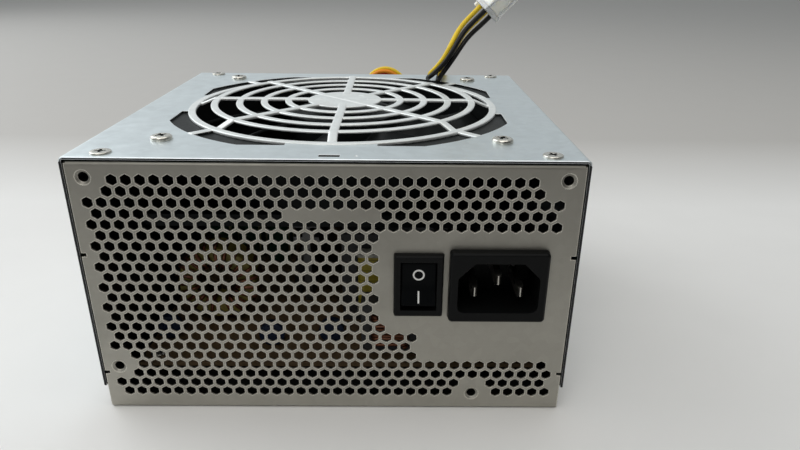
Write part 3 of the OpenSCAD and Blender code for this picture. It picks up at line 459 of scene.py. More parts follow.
# Which finish each carried-over node takes
NODE_FINISHES = {
    "base_chassis": "panel",
    "top_cover": "cover",
    "cover_screws": "screw",
    "fan_screws": "screw",
    "inlet_housing": "housing",
    "inlet_pins": "contact",
    "switch_bezel": "housing",
    "switch_rocker": "rocker",
    "rocker_marks": "mark",
    "switch_terminals": "contact",
    "mains_leads": "brown",
    "earth_lead": "earth",
    "fan_frame": "fan",
    "fan_rotor": "fan",
    "fan_shaft": "shaft",
    "fan_magnet": "magnet",
    "fan_retainer": "header",
    "fan_bearing": "bronze",
    "fan_stator": "stator",
    "fan_coils": "copper",
    "fan_lead": "black",
    "fan_header": "header",
    "insulating_film": "film",
    "circuit_board": "board",
    "board_screws": "screw",
    "primary_heatsink": "aluminium",
    "secondary_heatsink": "aluminium",
    "transistors": "package",
    "rectifiers": "package",
    "bridge_rectifier": "package",
    "transformer_core": "ferrite",
    "transformer_winding": "tape",
    "standby_core": "ferrite",
    "standby_winding": "tape",
    "line_choke_core": "ferrite",
    "line_choke_winding": "copper",
    "ring_choke_core": "powder",
    "ring_choke_winding": "copper",
    "bulk_capacitors": "sleeve_black",
    "bulk_tops": "can_top",
    "output_capacitors": "sleeve_green",
    "output_tops": "can_top",
    "line_capacitor": "film_capacitor",
    "disc_capacitors": "disc_blue",
    "fuse_glass": "glass",
    "fuse_caps": "contact",
    "thermistor": "disc_green",
    "control_chips": "package",
    "cable_grommet": "grommet",
    "inner_wires": "yellow",
    "cpu_lead": "yellow",
    "cpu_plug": "natural",
    "drive_lead": "orange",
    "drive_plug": "connector",
    "lead_ties": "tie",
}


def finish_nodes():
    """Gives each carried-over node its finish, also those that a finer piece then stands for."""
    for name, finish in NODE_FINISHES.items():
        mesh = NODES[name].data
        mesh.materials.clear()
        mesh.materials.append(FINISHES[finish])


# Modelling helpers


def clear_selection():
    if bpy.context.mode != "OBJECT":
        bpy.ops.object.mode_set(mode="OBJECT")
    bpy.ops.object.select_all(action="DESELECT")


def only(piece):
    """Makes one piece the selected and active one."""
    clear_selection()
    piece.select_set(True)
    bpy.context.view_layer.objects.active = piece


def settle(name):
    """Names the primitive just added and puts its place, turn and size into its mesh."""
    piece = bpy.context.object
    piece.name = name
    piece.data.name = name
    bpy.ops.object.transform_apply(location=True, rotation=True, scale=True)
    return piece


def bar(name, low, high):
    """A box between two opposite corners."""
    clear_selection()
    middle = [(a + b) / 2 * MM for a, b in zip(low, high)]
    bpy.ops.mesh.primitive_cube_add(size=1, location=middle)
    bpy.context.object.scale = [(b - a) * MM for a, b in zip(low, high)]
    return settle(name)


def post(name, foot, radius, height, sides=48, turn=(0, 0, 0)):
    """A round bar standing on the middle of its foot, along Z before it is turned."""
    clear_selection()
    axis = Vector((0, 0, height / 2 * MM))
    axis.rotate(Matrix.Rotation(turn[0], 3, "X"))
    bpy.ops.mesh.primitive_cylinder_add(
        vertices=sides, radius=radius * MM, depth=height * MM, location=mm(*foot) + axis, rotation=turn
    )
    return settle(name)


def pick(piece, kind, test):
    """Goes into edit mode with just the faces, edges or vertices whose middle, in millimetres, and direction
    pass a test."""
    only(piece)
    bpy.ops.object.mode_set(mode="EDIT")
    bpy.ops.mesh.select_mode(type=kind)
    bpy.ops.mesh.select_all(action="DESELECT")
    mesh = bmesh.from_edit_mesh(piece.data)
    if kind == "FACE":
        for face in mesh.faces:
            face.select_set(test(face.calc_center_median() / MM, face.normal))
    elif kind == "VERT":
        for vertex in mesh.verts:
            vertex.select_set(test(vertex.co / MM, vertex.normal))
    else:
        for edge in mesh.edges:
            first, second = edge.verts
            edge.select_set(test((first.co + second.co) / 2 / MM, (second.co - first.co).normalized()))
    bmesh.update_edit_mesh(piece.data)


def leave_edit():
    bpy.ops.object.mode_set(mode="OBJECT")


def modify(piece, kind, **settings):
    """Adds a modifier with its settings and applies it."""
    only(piece)
    modifier = piece.modifiers.new(kind.lower(), kind)
    for name, value in settings.items():
        setattr(modifier, name, value)
    bpy.ops.object.modifier_apply(modifier=modifier.name)


def smooth(piece, angle=40):
    only(piece)
    bpy.ops.object.shade_smooth_by_angle(angle=math.radians(angle))


def round_off(piece, width, segments=2, angle=35):
    """Rounds every edge sharper than an angle, and keeps the flats between the edges flat."""
    modify(
        piece, "BEVEL", width=width * MM, segments=segments,
        limit_method="ANGLE", angle_limit=math.radians(angle),
    )
    smooth(piece)
    modify(piece, "WEIGHTED_NORMAL", keep_sharp=True)


def cut(piece, *cutters):
    for cutter in cutters:
        modify(piece, "BOOLEAN", operation="DIFFERENCE", solver="EXACT", object=cutter)
        bpy.data.objects.remove(cutter)


def fuse(piece, other):
    modify(piece, "BOOLEAN", operation="UNION", solver="EXACT", object=other)
    bpy.data.objects.remove(other)


def face_outwards():
    """Turns every face of the mesh that is in edit mode outwards."""
    bpy.ops.mesh.select_all(action="SELECT")
    bpy.ops.mesh.normals_make_consistent(inside=False)


def join(name, pieces):
    clear_selection()
    for piece in pieces:
        piece.select_set(True)
    bpy.context.view_layer.objects.active = pieces[0]
    if len(pieces) > 1:
        bpy.ops.object.join()
    pieces[0].name = name
    pieces[0].data.name = name
    return pieces[0]


def copy_of(piece, name, matrix):
    """A copy with its own mesh, moved by a matrix in metres."""
    double = bpy.data.objects.new(name, piece.data.copy())
    double.data.name = name
    double.data.transform(matrix)
    bpy.context.scene.collection.objects.link(double)
    return double


def plate_from(name, outline, low, high, axis="Z"):
    """A flat outline drawn as one face across an axis and extruded along it, from low to high."""
    clear_selection()
    place = "XYZ".index(axis)
    points = [mm(*pair[:place], low, *pair[place:]) for pair in outline]
    mesh = bpy.data.meshes.new(name)
    mesh.from_pydata(points, [], [range(len(points))])
    piece = bpy.data.objects.new(name, mesh)
    bpy.context.scene.collection.objects.link(piece)
    only(piece)
    bpy.ops.object.mode_set(mode="EDIT")
    bpy.ops.mesh.select_all(action="SELECT")
    rise = [0, 0, 0]
    rise[place] = (high - low) * MM
    bpy.ops.mesh.extrude_region_move(TRANSFORM_OT_translate={"value": rise})
    face_outwards()
    leave_edit()
    return piece


def seat(piece, body, slot, *stands_for):
    """Puts a piece on its body and in place of the nodes that it stands for; slot is not used."""
    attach(piece, body)
    if stands_for:
        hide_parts(*stands_for)
    return piece


def finish_piece(piece, body, finish, slot, *stands_for):
    """Gives a piece its one material and seats it."""
    piece.data.materials.clear()
    piece.data.materials.append(FINISHES[finish])
    return seat(piece, body, slot, *stands_for)


# Leads


# Routes of the leads: across, behind the cable wall, and height, as in the part's source
CPU_ROUTE = [
    (21, 1.5, 46), (21, 6, 46), (21, 11, 46), (20, 21, 43), (17, 30, 34), (13, 36, 21), (6, 39, 9),
    (-4, 38, 3.8), (-16, 34, 3.8), (-28, 29.8, 4.4), (-41, 34, 3.4), (-54, 39.5, 2.8), (-66, 37, 2.8),
    (-71, 26, 2.8), (-66, 15, 2.8), (-54, 12.5, 2.8), (-41, 18, 3.4), (-28, 22.2, 4.4), (-15, 18, 3.4),
    (-2, 14, 2.8), (11, 13, 3.4), (22, 14, 9), (30, 16, 20), (33, 18, 33), (33, 18, 44), (33, 18, 56),
    (33.4, 18, 66), (36, 18.2, 74.5), (39.8, 16.2, 81.4), (42.2, 11.6, 86.9), (42.8, 5.6, 89.7),
    (42, -1, 90.2), (40.6, -8, 89.9), (39.2, -13.6, 89.2), (37.5, -22, 88.7), (37.5, -26.7, 90.1),
    (39.2, -31, 93.7), (42.4, -32.6, 98.7), (45.1, -30.9, 103.7), (46.9, -28.5, 105.9),
    (49.1, -24.8, 108.9), (52.5, -23, 111.7), (55.2, -23, 114.4), (58, -23, 117.2),
]
DRIVE_ROUTE = [
    (27, 1.5, 46), (27, 4, 46), (27, 7, 46), (27, 14, 49), (27, 18, 57), (27, 18, 66), (25, 18.5, 75),
    (20.5, 19, 81.5), (14.5, 19.5, 84), (8.5, 20.5, 81.5), (4, 22, 74), (2, 25, 62), (0, 30, 47),
    (-3, 37, 32), (-6, 45, 18), (-11, 51, 8), (-21, 54, 3.8), (-34, 55.4, 4.6), (-46, 52, 3.6),
    (-57, 49, 3), (-68, 53, 3), (-72, 64, 3), (-68, 75, 3), (-57, 78, 3), (-46, 71, 3.6), (-34, 63.6, 4.6),
    (-22, 68, 3.6), (-8, 69, 3.2), (6, 69, 3.2), (20, 69, 3.2),
]
INNER_CPU_ROUTE = [
    (21, 1.5, 46), (21, -2, 46), (21, -5, 46), (20.4, -11, 42), (20, -14, 31), (20, -14, 20), (20, -14, 9.4),
]
INNER_DRIVE_ROUTE = [
    (27, 1.5, 46), (27, -2, 46), (27, -5, 46), (28, -11, 42), (30.6, -14, 31), (31, -14, 20), (31, -14, 9.4),
]


def behind_wall(route):
    return [Vector((x, WALL + back, z)) for x, back, z in route]


def spline(points, steps):
    """Points of a smooth line through given points, with some steps between each two."""
    line = []
    last = len(points) - 1
    for i in range(last):
        a, b, c, d = points[max(i - 1, 0)], points[i], points[i + 1], points[min(i + 2, last)]
        for step in range(steps):
            t = step / steps
            line.append(0.5 * (
                2 * b + (c - a) * t + (2 * a - 5 * b + 4 * c - d) * t * t + (3 * b - a - 3 * c + d) * t ** 3
            ))
    return line + [points[last]]


def relaxed(line, first, passes):
    """The same line with its kinks after one point drawn out."""
    for _ in range(passes):
        loose = line[first:]
        eased = [(a + 2 * b + c) / 4 for a, b, c in zip(loose, loose[1:], loose[2:])]
        line = line[:first + 1] + eased + line[-1:]
    return line


def run_length(line):
    return sum((b - a).length for a, b in zip(line, line[1:]))


def frames_along(line):
    """The heading and two square directions at each point of a line, carried along without turning."""
    last = len(line) - 1
    frames = []
    side = None
    for i in range(last + 1):
        heading = (line[min(i + 1, last)] - line[max(i - 1, 0)]).normalized()
        if side is None:
            side = Vector((1, 0, 0)) if abs(heading.x) < 0.7 else Vector((0, 1, 0))
        side = (side - side.dot(heading) * heading).normalized()
        frames.append((heading, side, heading.cross(side)))
    return frames


def wire(name, points, diameter, finish, sides=12):
    """One insulated wire as a round tube along points, made a mesh."""
    clear_selection()
    curve = bpy.data.curves.new(name, "CURVE")
    curve.dimensions = "3D"
    curve.bevel_depth = diameter / 2 * MM
    curve.bevel_resolution = max(1, sides // 4 - 1)
    curve.use_fill_caps = True
    spline_data = curve.splines.new("POLY")
    spline_data.points.add(len(points) - 1)
    for place, point in zip(spline_data.points, points):
        place.co = (*(point * MM), 1)
    piece = bpy.data.objects.new(name, curve)
    bpy.context.scene.collection.objects.link(piece)
    only(piece)
    bpy.ops.object.convert(target="MESH")
    piece = bpy.context.object
    piece.data.materials.clear()
    piece.data.materials.append(FINISHES[finish])
    smooth(piece, 60)
    return piece


def bundle(name, line, turn_at, strands, diameter, moved=None):
    """Several wires lying together along one line; turn_at gives the bundle's turn at each run, in radians.
    A strand is its finish, its distance from the middle and its angle; moved gives, for a run and a
    strand's place in the bundle, the place that it has left the others for."""
    frames = frames_along(line)
    wires = []
    for number, (finish, radius, angle) in enumerate(strands):
        run = 0.0
        points = []
        for i, point in enumerate(line):
            if i:
                run += (point - line[i - 1]).length
            heading, side, other = frames[i]
            turned = angle + turn_at(run)
            place = point + radius * (math.cos(turned) * side + math.sin(turned) * other)
            if moved is not None:
                place = moved(run, number, point, place)
            points.append(place)
        points.append(points[-1] + heading * 1.2)
        wires.append(wire(f"{name}_{number}", points, diameter, finish))
    return join(name, wires)


def mirrored(strands, turn):
    """The same strands seen from inside the wall, where the wires run the other way."""
    return [(finish, radius, -(angle + turn)) for finish, radius, angle in strands]


def ease(low, high, value):
    """A smooth step from 0 to 1."""
    t = min(1.0, max(0.0, (value - low) / (high - low)))
    return t * t * (3 - 2 * t)


def angle_of(frame_at, direction):
    """The turn round a line at which a direction lies."""
    heading, side, other = frame_at
    return math.atan2(direction.dot(other), direction.dot(side))


# The plug leans to the right and is rolled about its wires, which enter along its own Z
PLUG_TURN = Matrix.Rotation(math.radians(45), 4, "Y") @ Matrix.Rotation(math.radians(30), 4, "Z")
PLUG_ACROSS = PLUG_TURN @ Vector((1, 0, 0))
PLUG_DEPTH = PLUG_TURN @ Vector((0, 1, 0))
PLUG_PITCH = 4.2
CPU_WIRE = 2.1
DRIVE_WIRE = 2.0
YELLOW_STRANDS = (0, 1)
RIGHT_STRANDS = (0, 3)
LEAD_STEPS = 6
# The point of its route at which the processor lead lies on the cover
CPU_REST = CPU_ROUTE.index((37.5, -22, 88.7))


def make_cpu_lead():
    """Four wires, slowly twisted, that fan out into the plug's cells."""
    rest = CPU_REST * LEAD_STEPS
    line = relaxed(spline(behind_wall(CPU_ROUTE), LEAD_STEPS), rest, 40)
    length = run_length(line)
    rest_run = run_length(line[:rest + 1])
    at_plug = angle_of(frames_along(line)[-1], PLUG_ACROSS)
    slow_twist = math.radians(360) / 170
    untwisted = 24
    fan_start, fan_end = length - 38, length - 2
    parted = 16

    def turn_at(run):
        return at_plug + min(0, run - length + untwisted) * slow_twist

    def moved(run, number, point, place):
        """The wires fan out into the plug, and part a little where they lie on the cover."""
        across = 1 if number in RIGHT_STRANDS else -1
        depth = 1 if number in YELLOW_STRANDS else -1
        cell = point + (PLUG_ACROSS * across + PLUG_DEPTH * depth) * PLUG_PITCH / 2
        parting = ease(rest_run - parted, rest_run, run) * (1 - ease(rest_run, rest_run + parted, run))
        fanned = place.lerp(cell, ease(fan_start, fan_end, run))
        return fanned + Vector((across * 1.3 - 0.9, -0.6, 0)) * parting

    quarter = math.radians(90)
    strands = [
        ("yellow" if k in YELLOW_STRANDS else "black", CPU_D / 2 - CPU_WIRE / 2, quarter * (k + 0.5))
        for k in range(4)
    ]
    piece = bundle("cpu_wires", line, turn_at, strands, CPU_WIRE, moved)
    seat(piece, "case", "wire_yellow", "cpu_lead")
    return piece, line, mirrored(strands, turn_at(0))


def make_drive_lead():
    """Five wires, slowly twisted, with the yellow one on top at the crest."""
    line = spline(behind_wall(DRIVE_ROUTE), LEAD_STEPS)
    frames = frames_along(line)
    crest = max(range(len(line)), key=lambda i: line[i].z)
    crest_run = run_length(line[:crest + 1])
    upright = angle_of(frames[crest], Vector((0, 0, 1)))
    forward = angle_of(frames[crest], Vector((0, -1, 0)))
    sense = 1 if math.sin(forward - upright) > 0 else -1
    slow_twist = math.radians(360) / 260

    def turn_at(run):
        return upright + (run - crest_run) * slow_twist

    fifth = math.radians(72) * sense
    colours = ("yellow", "orange", "red", "black", "black")
    strands = [(colour, DRIVE_D / 2 - DRIVE_WIRE / 2, fifth * k) for k, colour in enumerate(colours)]
    piece = bundle("drive_wires", line, turn_at, strands, DRIVE_WIRE)
    seat(piece, "case", "wire_orange", "drive_lead")
    return piece, line, mirrored(strands, turn_at(0))


# Cover and grille


def arc(radius, start, end, steps):
    """Points of an arc round the middle, between two angles in radians."""
    angles = [start + (end - start) * i / steps for i in range(steps + 1)]
    return [(radius * math.cos(a), radius * math.sin(a)) for a in angles]


def window_outline():
    """Half of a corner window beside its diagonal spoke: inner arc, outer arc and straight side."""
    diagonal = math.radians(45)
    inner_end = diagonal - math.asin(SPOKE_W / 2 / OUTER_RING_OUT)
    outer_end = diagonal - math.asin(SPOKE_W / 2 / WINDOW_R)
    inner = arc(OUTER_RING_OUT, math.asin(WINDOW_SKIP / OUTER_RING_OUT), inner_end, 10)
    outer = arc(WINDOW_R, outer_end, math.acos(WINDOW_HALF / WINDOW_R), 8)
    return inner + outer + [(WINDOW_HALF, WINDOW_SKIP)]


def window_cutters():
    cutters = []
    for quarter in range(4):
        for flip in (False, True):
            points = [(y, x) if flip else (x, y) for x, y in window_outline()]
            turn = Matrix.Rotation(math.radians(90) * quarter, 2)
            placed = [turn @ Vector(point) for point in points]
            outline = [(point.x, point.y + FAN_Y) for point in placed]
            cutters.append(plate_from("window", outline, CASE_H - 2, CASE_H + 2))
    return cutters


def on_top_rim(middle, way):
    """Whether an edge is the outer one of the top plate's front or back rim, down to the bends' ends."""
    across = abs(middle.x) - (HALF_W - BEND)
    above = middle.z - (CASE_H - BEND)
    reach = math.hypot(max(0, across), above)
    on_rim = abs(middle.y) > HALF_D - 0.01 and abs(way.y) < 0.1
    return on_rim and above > 0 and abs(reach - BEND) < 0.05


def make_cover():
    """The cover bent from one sheet, with its fan opening, corner windows and locating slot cut out."""
    shell = bar("cover_shell", (-HALF_W, -HALF_D, COVER_FOOT), (HALF_W, HALF_D, CASE_H))
    pick(shell, "FACE", lambda middle, normal: abs(normal.y) > 0.9 or normal.z < -0.9)
    bpy.ops.mesh.delete(type="FACE")
    pick(shell, "EDGE", lambda middle, way: abs(way.y) > 0.9 and middle.z > CASE_H - 1)
    bpy.ops.mesh.bevel(offset=BEND * MM, segments=5, affect="EDGES")
    leave_edit()
    modify(shell, "SOLIDIFY", thickness=SHEET * MM, offset=-1)
    opening = post("opening", (0, FAN_Y, CASE_H - 2), OUTER_RING_IN, 4, 96)
    slot = bar("slot", (-2.5, PANEL_Y + 2.4, CASE_H - 2), (3.5, PANEL_Y + 4.3, CASE_H + 2))
    dimple = post("dimple", (8.2, PANEL_Y + 3.2, CASE_H - 0.25), 0.45, 2, 16)
    cut(shell, opening, slot, dimple, *window_cutters())
    pick(shell, "EDGE", on_top_rim)
    bpy.ops.mesh.bevel(offset=0.45 * MM, segments=4, affect="EDGES")
    leave_edit()
    round_off(shell, 0.16, 2, 40)
    finish_piece(shell, "case", "cover", "cover_steel", "top_cover")
    # Cut edges and the walls of the slot, windows and opening take the dark finish: raw cut steel, and
    # painted shade where they lie in shadow
    shell.data.materials.append(FINISHES["cut_edge_and_shade"])
    for face in shell.data.polygons:
        on_top = abs(face.center.x) < (HALF_W - 2 * BEND) * MM
        on_side = face.center.z < (CASE_H - BEND) * MM
        if abs(face.normal.y) > (0.9 if on_side else 0.985) or (on_top and abs(face.normal.z) < 0.3):
            face.material_index = 1


def rounded_ring(name, middle, width, low, high, corner):
    """A flat ring with rounded edges, spun from its section."""
    clear_selection()
    bpy.ops.mesh.primitive_plane_add(
        size=1, location=mm(middle, FAN_Y, (low + high) / 2), rotation=(math.radians(90), 0, 0)
    )
    bpy.context.object.scale = (width * MM, (high - low) * MM, 1)
    ring = settle(name)
    bpy.ops.object.mode_set(mode="EDIT")
    bpy.ops.mesh.select_all(action="SELECT")
    bpy.ops.mesh.bevel(offset=corner * MM, segments=3, affect="VERTICES")
    bpy.ops.mesh.select_all(action="SELECT")
    bpy.ops.mesh.delete(type="ONLY_FACE")
    bpy.ops.mesh.select_all(action="SELECT")
    bpy.ops.mesh.spin(steps=120, angle=math.radians(360), center=mm(0, FAN_Y, 0), axis=(0, 0, 1))
    bpy.ops.mesh.select_all(action="SELECT")
    bpy.ops.mesh.remove_doubles(threshold=0.00001)
    face_outwards()
    leave_edit()
    smooth(ring, 60)
    modify(ring, "WEIGHTED_NORMAL", keep_sharp=True)
    return ring


def make_spoke(inner_end, outer_end):
    """One pressed spoke along +X: a flat strip with a raised rib that steps down from the rings."""
    lift = 0.04
    flat_end = RING_MIDDLES[3] + RING_W / 2
    foot = OUTER_RING_IN - 0.6
    low = RAISED_TOP - SHEET
    spoke = bar("spoke", (inner_end, -SPOKE_W / 2, low), (outer_end, SPOKE_W / 2, RAISED_TOP + lift))
    only(spoke)
    bpy.ops.object.mode_set(mode="EDIT")
    for place in (flat_end, foot):
        bpy.ops.mesh.select_all(action="SELECT")
        bpy.ops.mesh.bisect(plane_co=mm(place, 0, 0), plane_no=(1, 0, 0))
    pick(spoke, "VERT", lambda middle, normal: middle.x > foot - 0.1)
    bpy.ops.transform.translate(value=mm(0, 0, -GRILLE_RISE))
    pick(spoke, "FACE", lambda middle, normal: normal.z > 0.5)
    for step, rise in ((0.55, 0.16), (0.4, 0.05)):
        bpy.ops.mesh.inset(thickness=step * MM)
        bpy.ops.transform.translate(value=mm(0, 0, rise))
    leave_edit()
    round_off(spoke, 0.2, 2, 15)
    return spoke


def make_grille():
    low = RAISED_TOP - SHEET
    parts = [rounded_ring("ring", middle, RING_W, low, RAISED_TOP, 0.36) for middle in RING_MIDDLES]
    rim_middle = (OUTER_RING_IN + OUTER_RING_OUT) / 2
    parts.append(rounded_ring("rim", rim_middle, RING_W + 0.1, CASE_H - SHEET - 0.05, CASE_H + 0.35, 0.4))
    disc = post("disc", (0, FAN_Y, low), DISC_R, SHEET, 72)
    round_off(disc, 0.3, 3, 40)
    parts.append(disc)
    for number in range(8):
        # the rib from back left to front right crosses the whole disc
        crosses = number in (3, 7)
        outer_end = WINDOW_R + 0.6 if number % 2 else OUTER_RING_IN + 1.6
        spoke = make_spoke(-0.5 if crosses else 8.5, outer_end)
        turn = Matrix.Translation(mm(0, FAN_Y, 0)) @ Matrix.Rotation(math.radians(45) * number, 4, "Z")
        spoke.data.transform(turn)
        parts.append(spoke)
    grille = join("fan_grille", parts)
    return finish_piece(grille, "case", "grille", "cover_steel")


# Screws


# Radius and height of the head, radius and length of the shank
COVER_SCREW = (3.0, 0.6, 1.5, 5)
FAN_SCREW = (3.3, 1.3, 2.0, 9)
# How far a screw's cross recess reaches, as a share of its head's radius
RECESS_REACH = 0.52


def make_screw(head_r, head_h, shank_r, shank_len):
    """A screw with a domed head and a cross recess; its head stands on z = 0."""
    head = post("screw", (0, 0, 0), head_r, head_h, 40)
    pick(head, "EDGE", lambda middle, way: middle.z > head_h - 0.01 and abs(way.z) < 0.1)
    bpy.ops.mesh.bevel(offset=head_h * 0.6 * MM, segments=4, affect="EDGES")
    pick(head, "FACE", lambda middle, normal: normal.z > 0.99 and middle.z > head_h - 0.01)
    bpy.ops.mesh.inset(thickness=head_r * 0.3 * MM)
    bpy.ops.transform.translate(value=mm(0, 0, head_h * 0.1))
    leave_edit()
    shank = post("shank", (0, 0, -shank_len), shank_r, shank_len + head_h / 2, 24)
    fuse(head, shank)
    reach = head_r * RECESS_REACH
    half = head_r * 0.15
    floor = -0.9
    arms = [
        bar("arm", (-reach, -half, floor), (reach, half, head_h + 1)),
        bar("arm", (-half, -reach, floor), (half, reach, head_h + 1)),
        post("pit", (0, 0, floor - 0.15), half * 2, 4, 12),
    ]
    cut(head, *arms)
    round_off(head, 0.05, 2, 40)
    return head


def place_screws(name, node, sizes, spots, turns):
    """Copies of one screw, each turned its own way, with the walls and floors of their recesses in painted
    shade.
    """
    model = make_screw(*sizes)
    head_r, head_h = sizes[:2]
    pieces = []
    for number, ((x, y, z), turn) in enumerate(zip(spots, turns)):
        matrix = Matrix.Translation(mm(x, y, z)) @ Matrix.Rotation(math.radians(turn), 4, "Z")
        pieces.append(copy_of(model, f"{name}_{number}", matrix))
    bpy.data.objects.remove(model)
    whole = join(name, pieces)
    smooth(whole, 40)
    finish_piece(whole, "case", "screw", "screw_steel", node)
    whole.data.materials.append(FINISHES["cut_edge_and_shade"])
    # Recess faces take the dark finish as painted shade
    for face in whole.data.polygons:
        middle = face.center / MM
        reach = min(math.dist(spot[:2], middle[:2]) for spot in spots)
        if reach < head_r * RECESS_REACH and middle.z < CASE_H + head_h:
            face.material_index = 1


def make_screws():
    corners = [(x, y) for x in (-1, 1) for y in (-1, 1)]
    cover_spots = [(x * 64.75, y * 65.5, CASE_H) for x, y in corners]
    fan_spots = [(x * 52.5, FAN_Y + y * 52.5, CASE_H) for x, y in corners]
    place_screws("cover_screw_set", "cover_screws", COVER_SCREW, cover_spots, (12, 40, 25, 70))
    place_screws("fan_screw_set", "fan_screws", FAN_SCREW, fan_spots, (35, 5, 62, 20))


# Mains inlet and switch


def socket_outline(half_w, half_h, cut_corner, radius):
    """The socket's opening: cut upper corners and rounded lower ones, round the inlet's middle."""
    x, z = INLET
    quarter = math.radians(90)
    right = [(half_w - radius + a, radius - half_h + b) for a, b in arc(radius, -quarter, 0, 5)]
    left = [(radius - half_w + a, radius - half_h + b) for a, b in arc(radius, 2 * quarter, 3 * quarter, 5)]
    top = [(half_w, half_h - cut_corner), (half_w - cut_corner, half_h),
           (cut_corner - half_w, half_h), (-half_w, half_h - cut_corner)]
    return [(x + a, z + b) for a, b in right + top + left]


def chamfer_face(piece, face_y, width):
    """Cuts back the rim of a face that looks towards the viewer."""
    pick(piece, "EDGE", lambda middle, way: abs(middle.y - face_y) < 0.01)
    bpy.ops.mesh.bevel(offset=width * MM, segments=1, affect="EDGES")
    leave_edit()


def make_inlet():
    """The housing with its flange, its socket and the small rib in it, and then the pins."""
    x, z = INLET
    face_y = PANEL_Y - 3
    shell = bar("inlet_shell", (x - 15, face_y, z - 11.9), (x + 15, PANEL_Y, z + 11.9))
    pick(shell, "EDGE", lambda middle, way: abs(way.y) > 0.9)
    bpy.ops.mesh.bevel(offset=1.2 * MM, segments=4, affect="EDGES")
    pick(shell, "FACE", lambda middle, normal: normal.y < -0.9)
    bpy.ops.transform.resize(value=(0.985, 1, 0.98), center_override=mm(x, face_y, z))
    leave_edit()
    chamfer_face(shell, face_y, 0.6)
    neck = bar("neck", (x - 13.35, PANEL_Y - 0.5, z - 9.9), (x + 13.35, PANEL_Y + 17, z + 9.9))
    fuse(shell, neck)
    cavity = plate_from("cavity", socket_outline(12.25, 8.3, 5, 2.2), face_y - 1, face_y + 16.5, "Y")
    cut(shell, cavity)
    round_off(shell, 0.2, 2, 30)
    rib = bar("rib", (x + 3.3, face_y + 0.6, z + 7.5), (x + 4.2, face_y + 16, z + 8.6))
    round_off(rib, 0.2, 2)
    shell = join("inlet_shell", [shell, rib])
    finish_piece(shell, "case", "housing", "black_plastic", "inlet_housing")
    make_pins(x, z)


def make_pins(x, z):
    """Three flat blades with tapered tips, and their tails behind the housing."""
    tip_y = PANEL_Y - 1.2
    taper = 1.4
    half_w, half_h = 1, 2
    blade = bar("blade", (-half_w, tip_y + taper, -half_h), (half_w, PANEL_Y + 18, half_h))
    pick(blade, "FACE", lambda middle, normal: normal.y < -0.9)
    bpy.ops.mesh.extrude_region_move(TRANSFORM_OT_translate={"value": mm(0, -taper, 0)})
    bpy.ops.transform.resize(value=(0.16, 1, 0.75), center_override=mm(0, tip_y, 0))
    leave_edit()
    round_off(blade, 0.08, 2)
    tail = bar("tail", (-0.4, PANEL_Y + 17, -half_h), (0.4, PANEL_Y + 24, half_h))
    round_off(tail, 0.12, 2)
    blade = join("blade", [blade, tail])
    spots = [(x - 7, z - 2), (x + 7, z - 2), (x, z + 2)]
    pins = [copy_of(blade, "pin", Matrix.Translation(mm(px, 0, pz))) for px, pz in spots]
    bpy.data.objects.remove(blade)
    finish_piece(join("contact_pins", pins), "case", "contact", "contact_metal", "inlet_pins")


def make_switch():
    """The bezel with its well, and then the rocker in it."""
    x, z = SWITCH
    face_y = PANEL_Y - 2
    bezel = bar("bezel_frame", (x - 7.6, face_y, z - 10.5), (x + 7.6, PANEL_Y, z + 10.5))
    pick(bezel, "EDGE", lambda middle, way: abs(way.y) > 0.9)
    bpy.ops.mesh.bevel(offset=0.5 * MM, segments=3, affect="EDGES")
    pick(bezel, "FACE", lambda middle, normal: normal.y < -0.9)
    bpy.ops.transform.resize(value=(0.965, 1, 0.975), center_override=mm(x, face_y, z))
    leave_edit()
    chamfer_face(bezel, face_y, 0.4)
    neck = bar("neck", (x - 6.4, PANEL_Y - 0.5, z - 8.8), (x + 6.4, PANEL_Y + 14, z + 8.8))
    fuse(bezel, neck)
    well = bar("well", (x - 5.5, face_y - 1, z - 8.1), (x + 5.5, PANEL_Y + 12.5, z + 8.1))
    cut(bezel, well)
    round_off(bezel, 0.15, 2, 30)
    finish_piece(bezel, "case", "housing", "black_plastic", "switch_bezel")
    make_rocker(x, z)


def make_rocker(x, z):
    """The rocker with two sloping faces, leaning with its upper end pressed in."""
    half, end = 5.2, 6.8
    ridge, heel = 3.4, 1.5
    tip = ridge + end * math.tan(math.radians(ROCKER_LEAN))
    outline = [(-ridge, 0), (-tip, end), (heel, end - 1), (heel, 1 - end), (-tip, -end)]
    rocker = plate_from("rocker", outline, -half, half, "X")
    pick(rocker, "EDGE", lambda middle, way: abs(way.x) > 0.9 and abs(middle.z) < 0.1)
    bpy.ops.mesh.bevel(offset=1.5 * MM, segments=5, affect="EDGES")
    leave_edit()
    round_off(rocker, 0.3, 3, 25)
    pins = post("pins", (0, 0, -half - 0.8), 1.2, 2 * half + 1.6, 24)
    pins.data.transform(Matrix.Rotation(math.radians(90), 4, "Y"))
    round_off(pins, 0.15, 2)
    rocker = join("rocker_button", [rocker, pins])
    lean = Matrix.Translation(mm(x, PIVOT_Y, z)) @ Matrix.Rotation(math.radians(-ROCKER_LEAN), 4, "X")
    rocker.data.transform(lean)
    finish_piece(rocker, "rocker", "rocker", "rocker_plastic", "switch_rocker")


# Fan rotor


def blade_point(u, v):
    """A point of a blade: u from hub to tip, v along the chord, both from 0 to 1."""
    radius = 19.7 + 36.6 * u
    angle = math.radians(-16 + 30 * u * u + (42 - 4 * u) * (v - 0.5))
    camber = 0.7 * math.sin(math.pi * v)
    height = 67.2 + 13.4 * v * (1 - 0.3 * u) + 1.25 * u + camber
    return radius * math.cos(angle), radius * math.sin(angle), height


BLADES = 7


def make_blade():
    across, along = 14, 12
    clear_selection()
    bpy.ops.mesh.primitive_grid_add(x_subdivisions=across, y_subdivisions=along, size=1)
    blade = settle("blade")
    for vertex in blade.data.vertices:
        vertex.co = mm(*blade_point(vertex.co.x + 0.5, vertex.co.y + 0.5))
    modify(blade, "SOLIDIFY", thickness=1.2 * MM, offset=1)
    only(blade)
    bpy.ops.object.mode_set(mode="EDIT")
    face_outwards()
    leave_edit()
    round_off(blade, 0.35, 2, 50)
    return blade


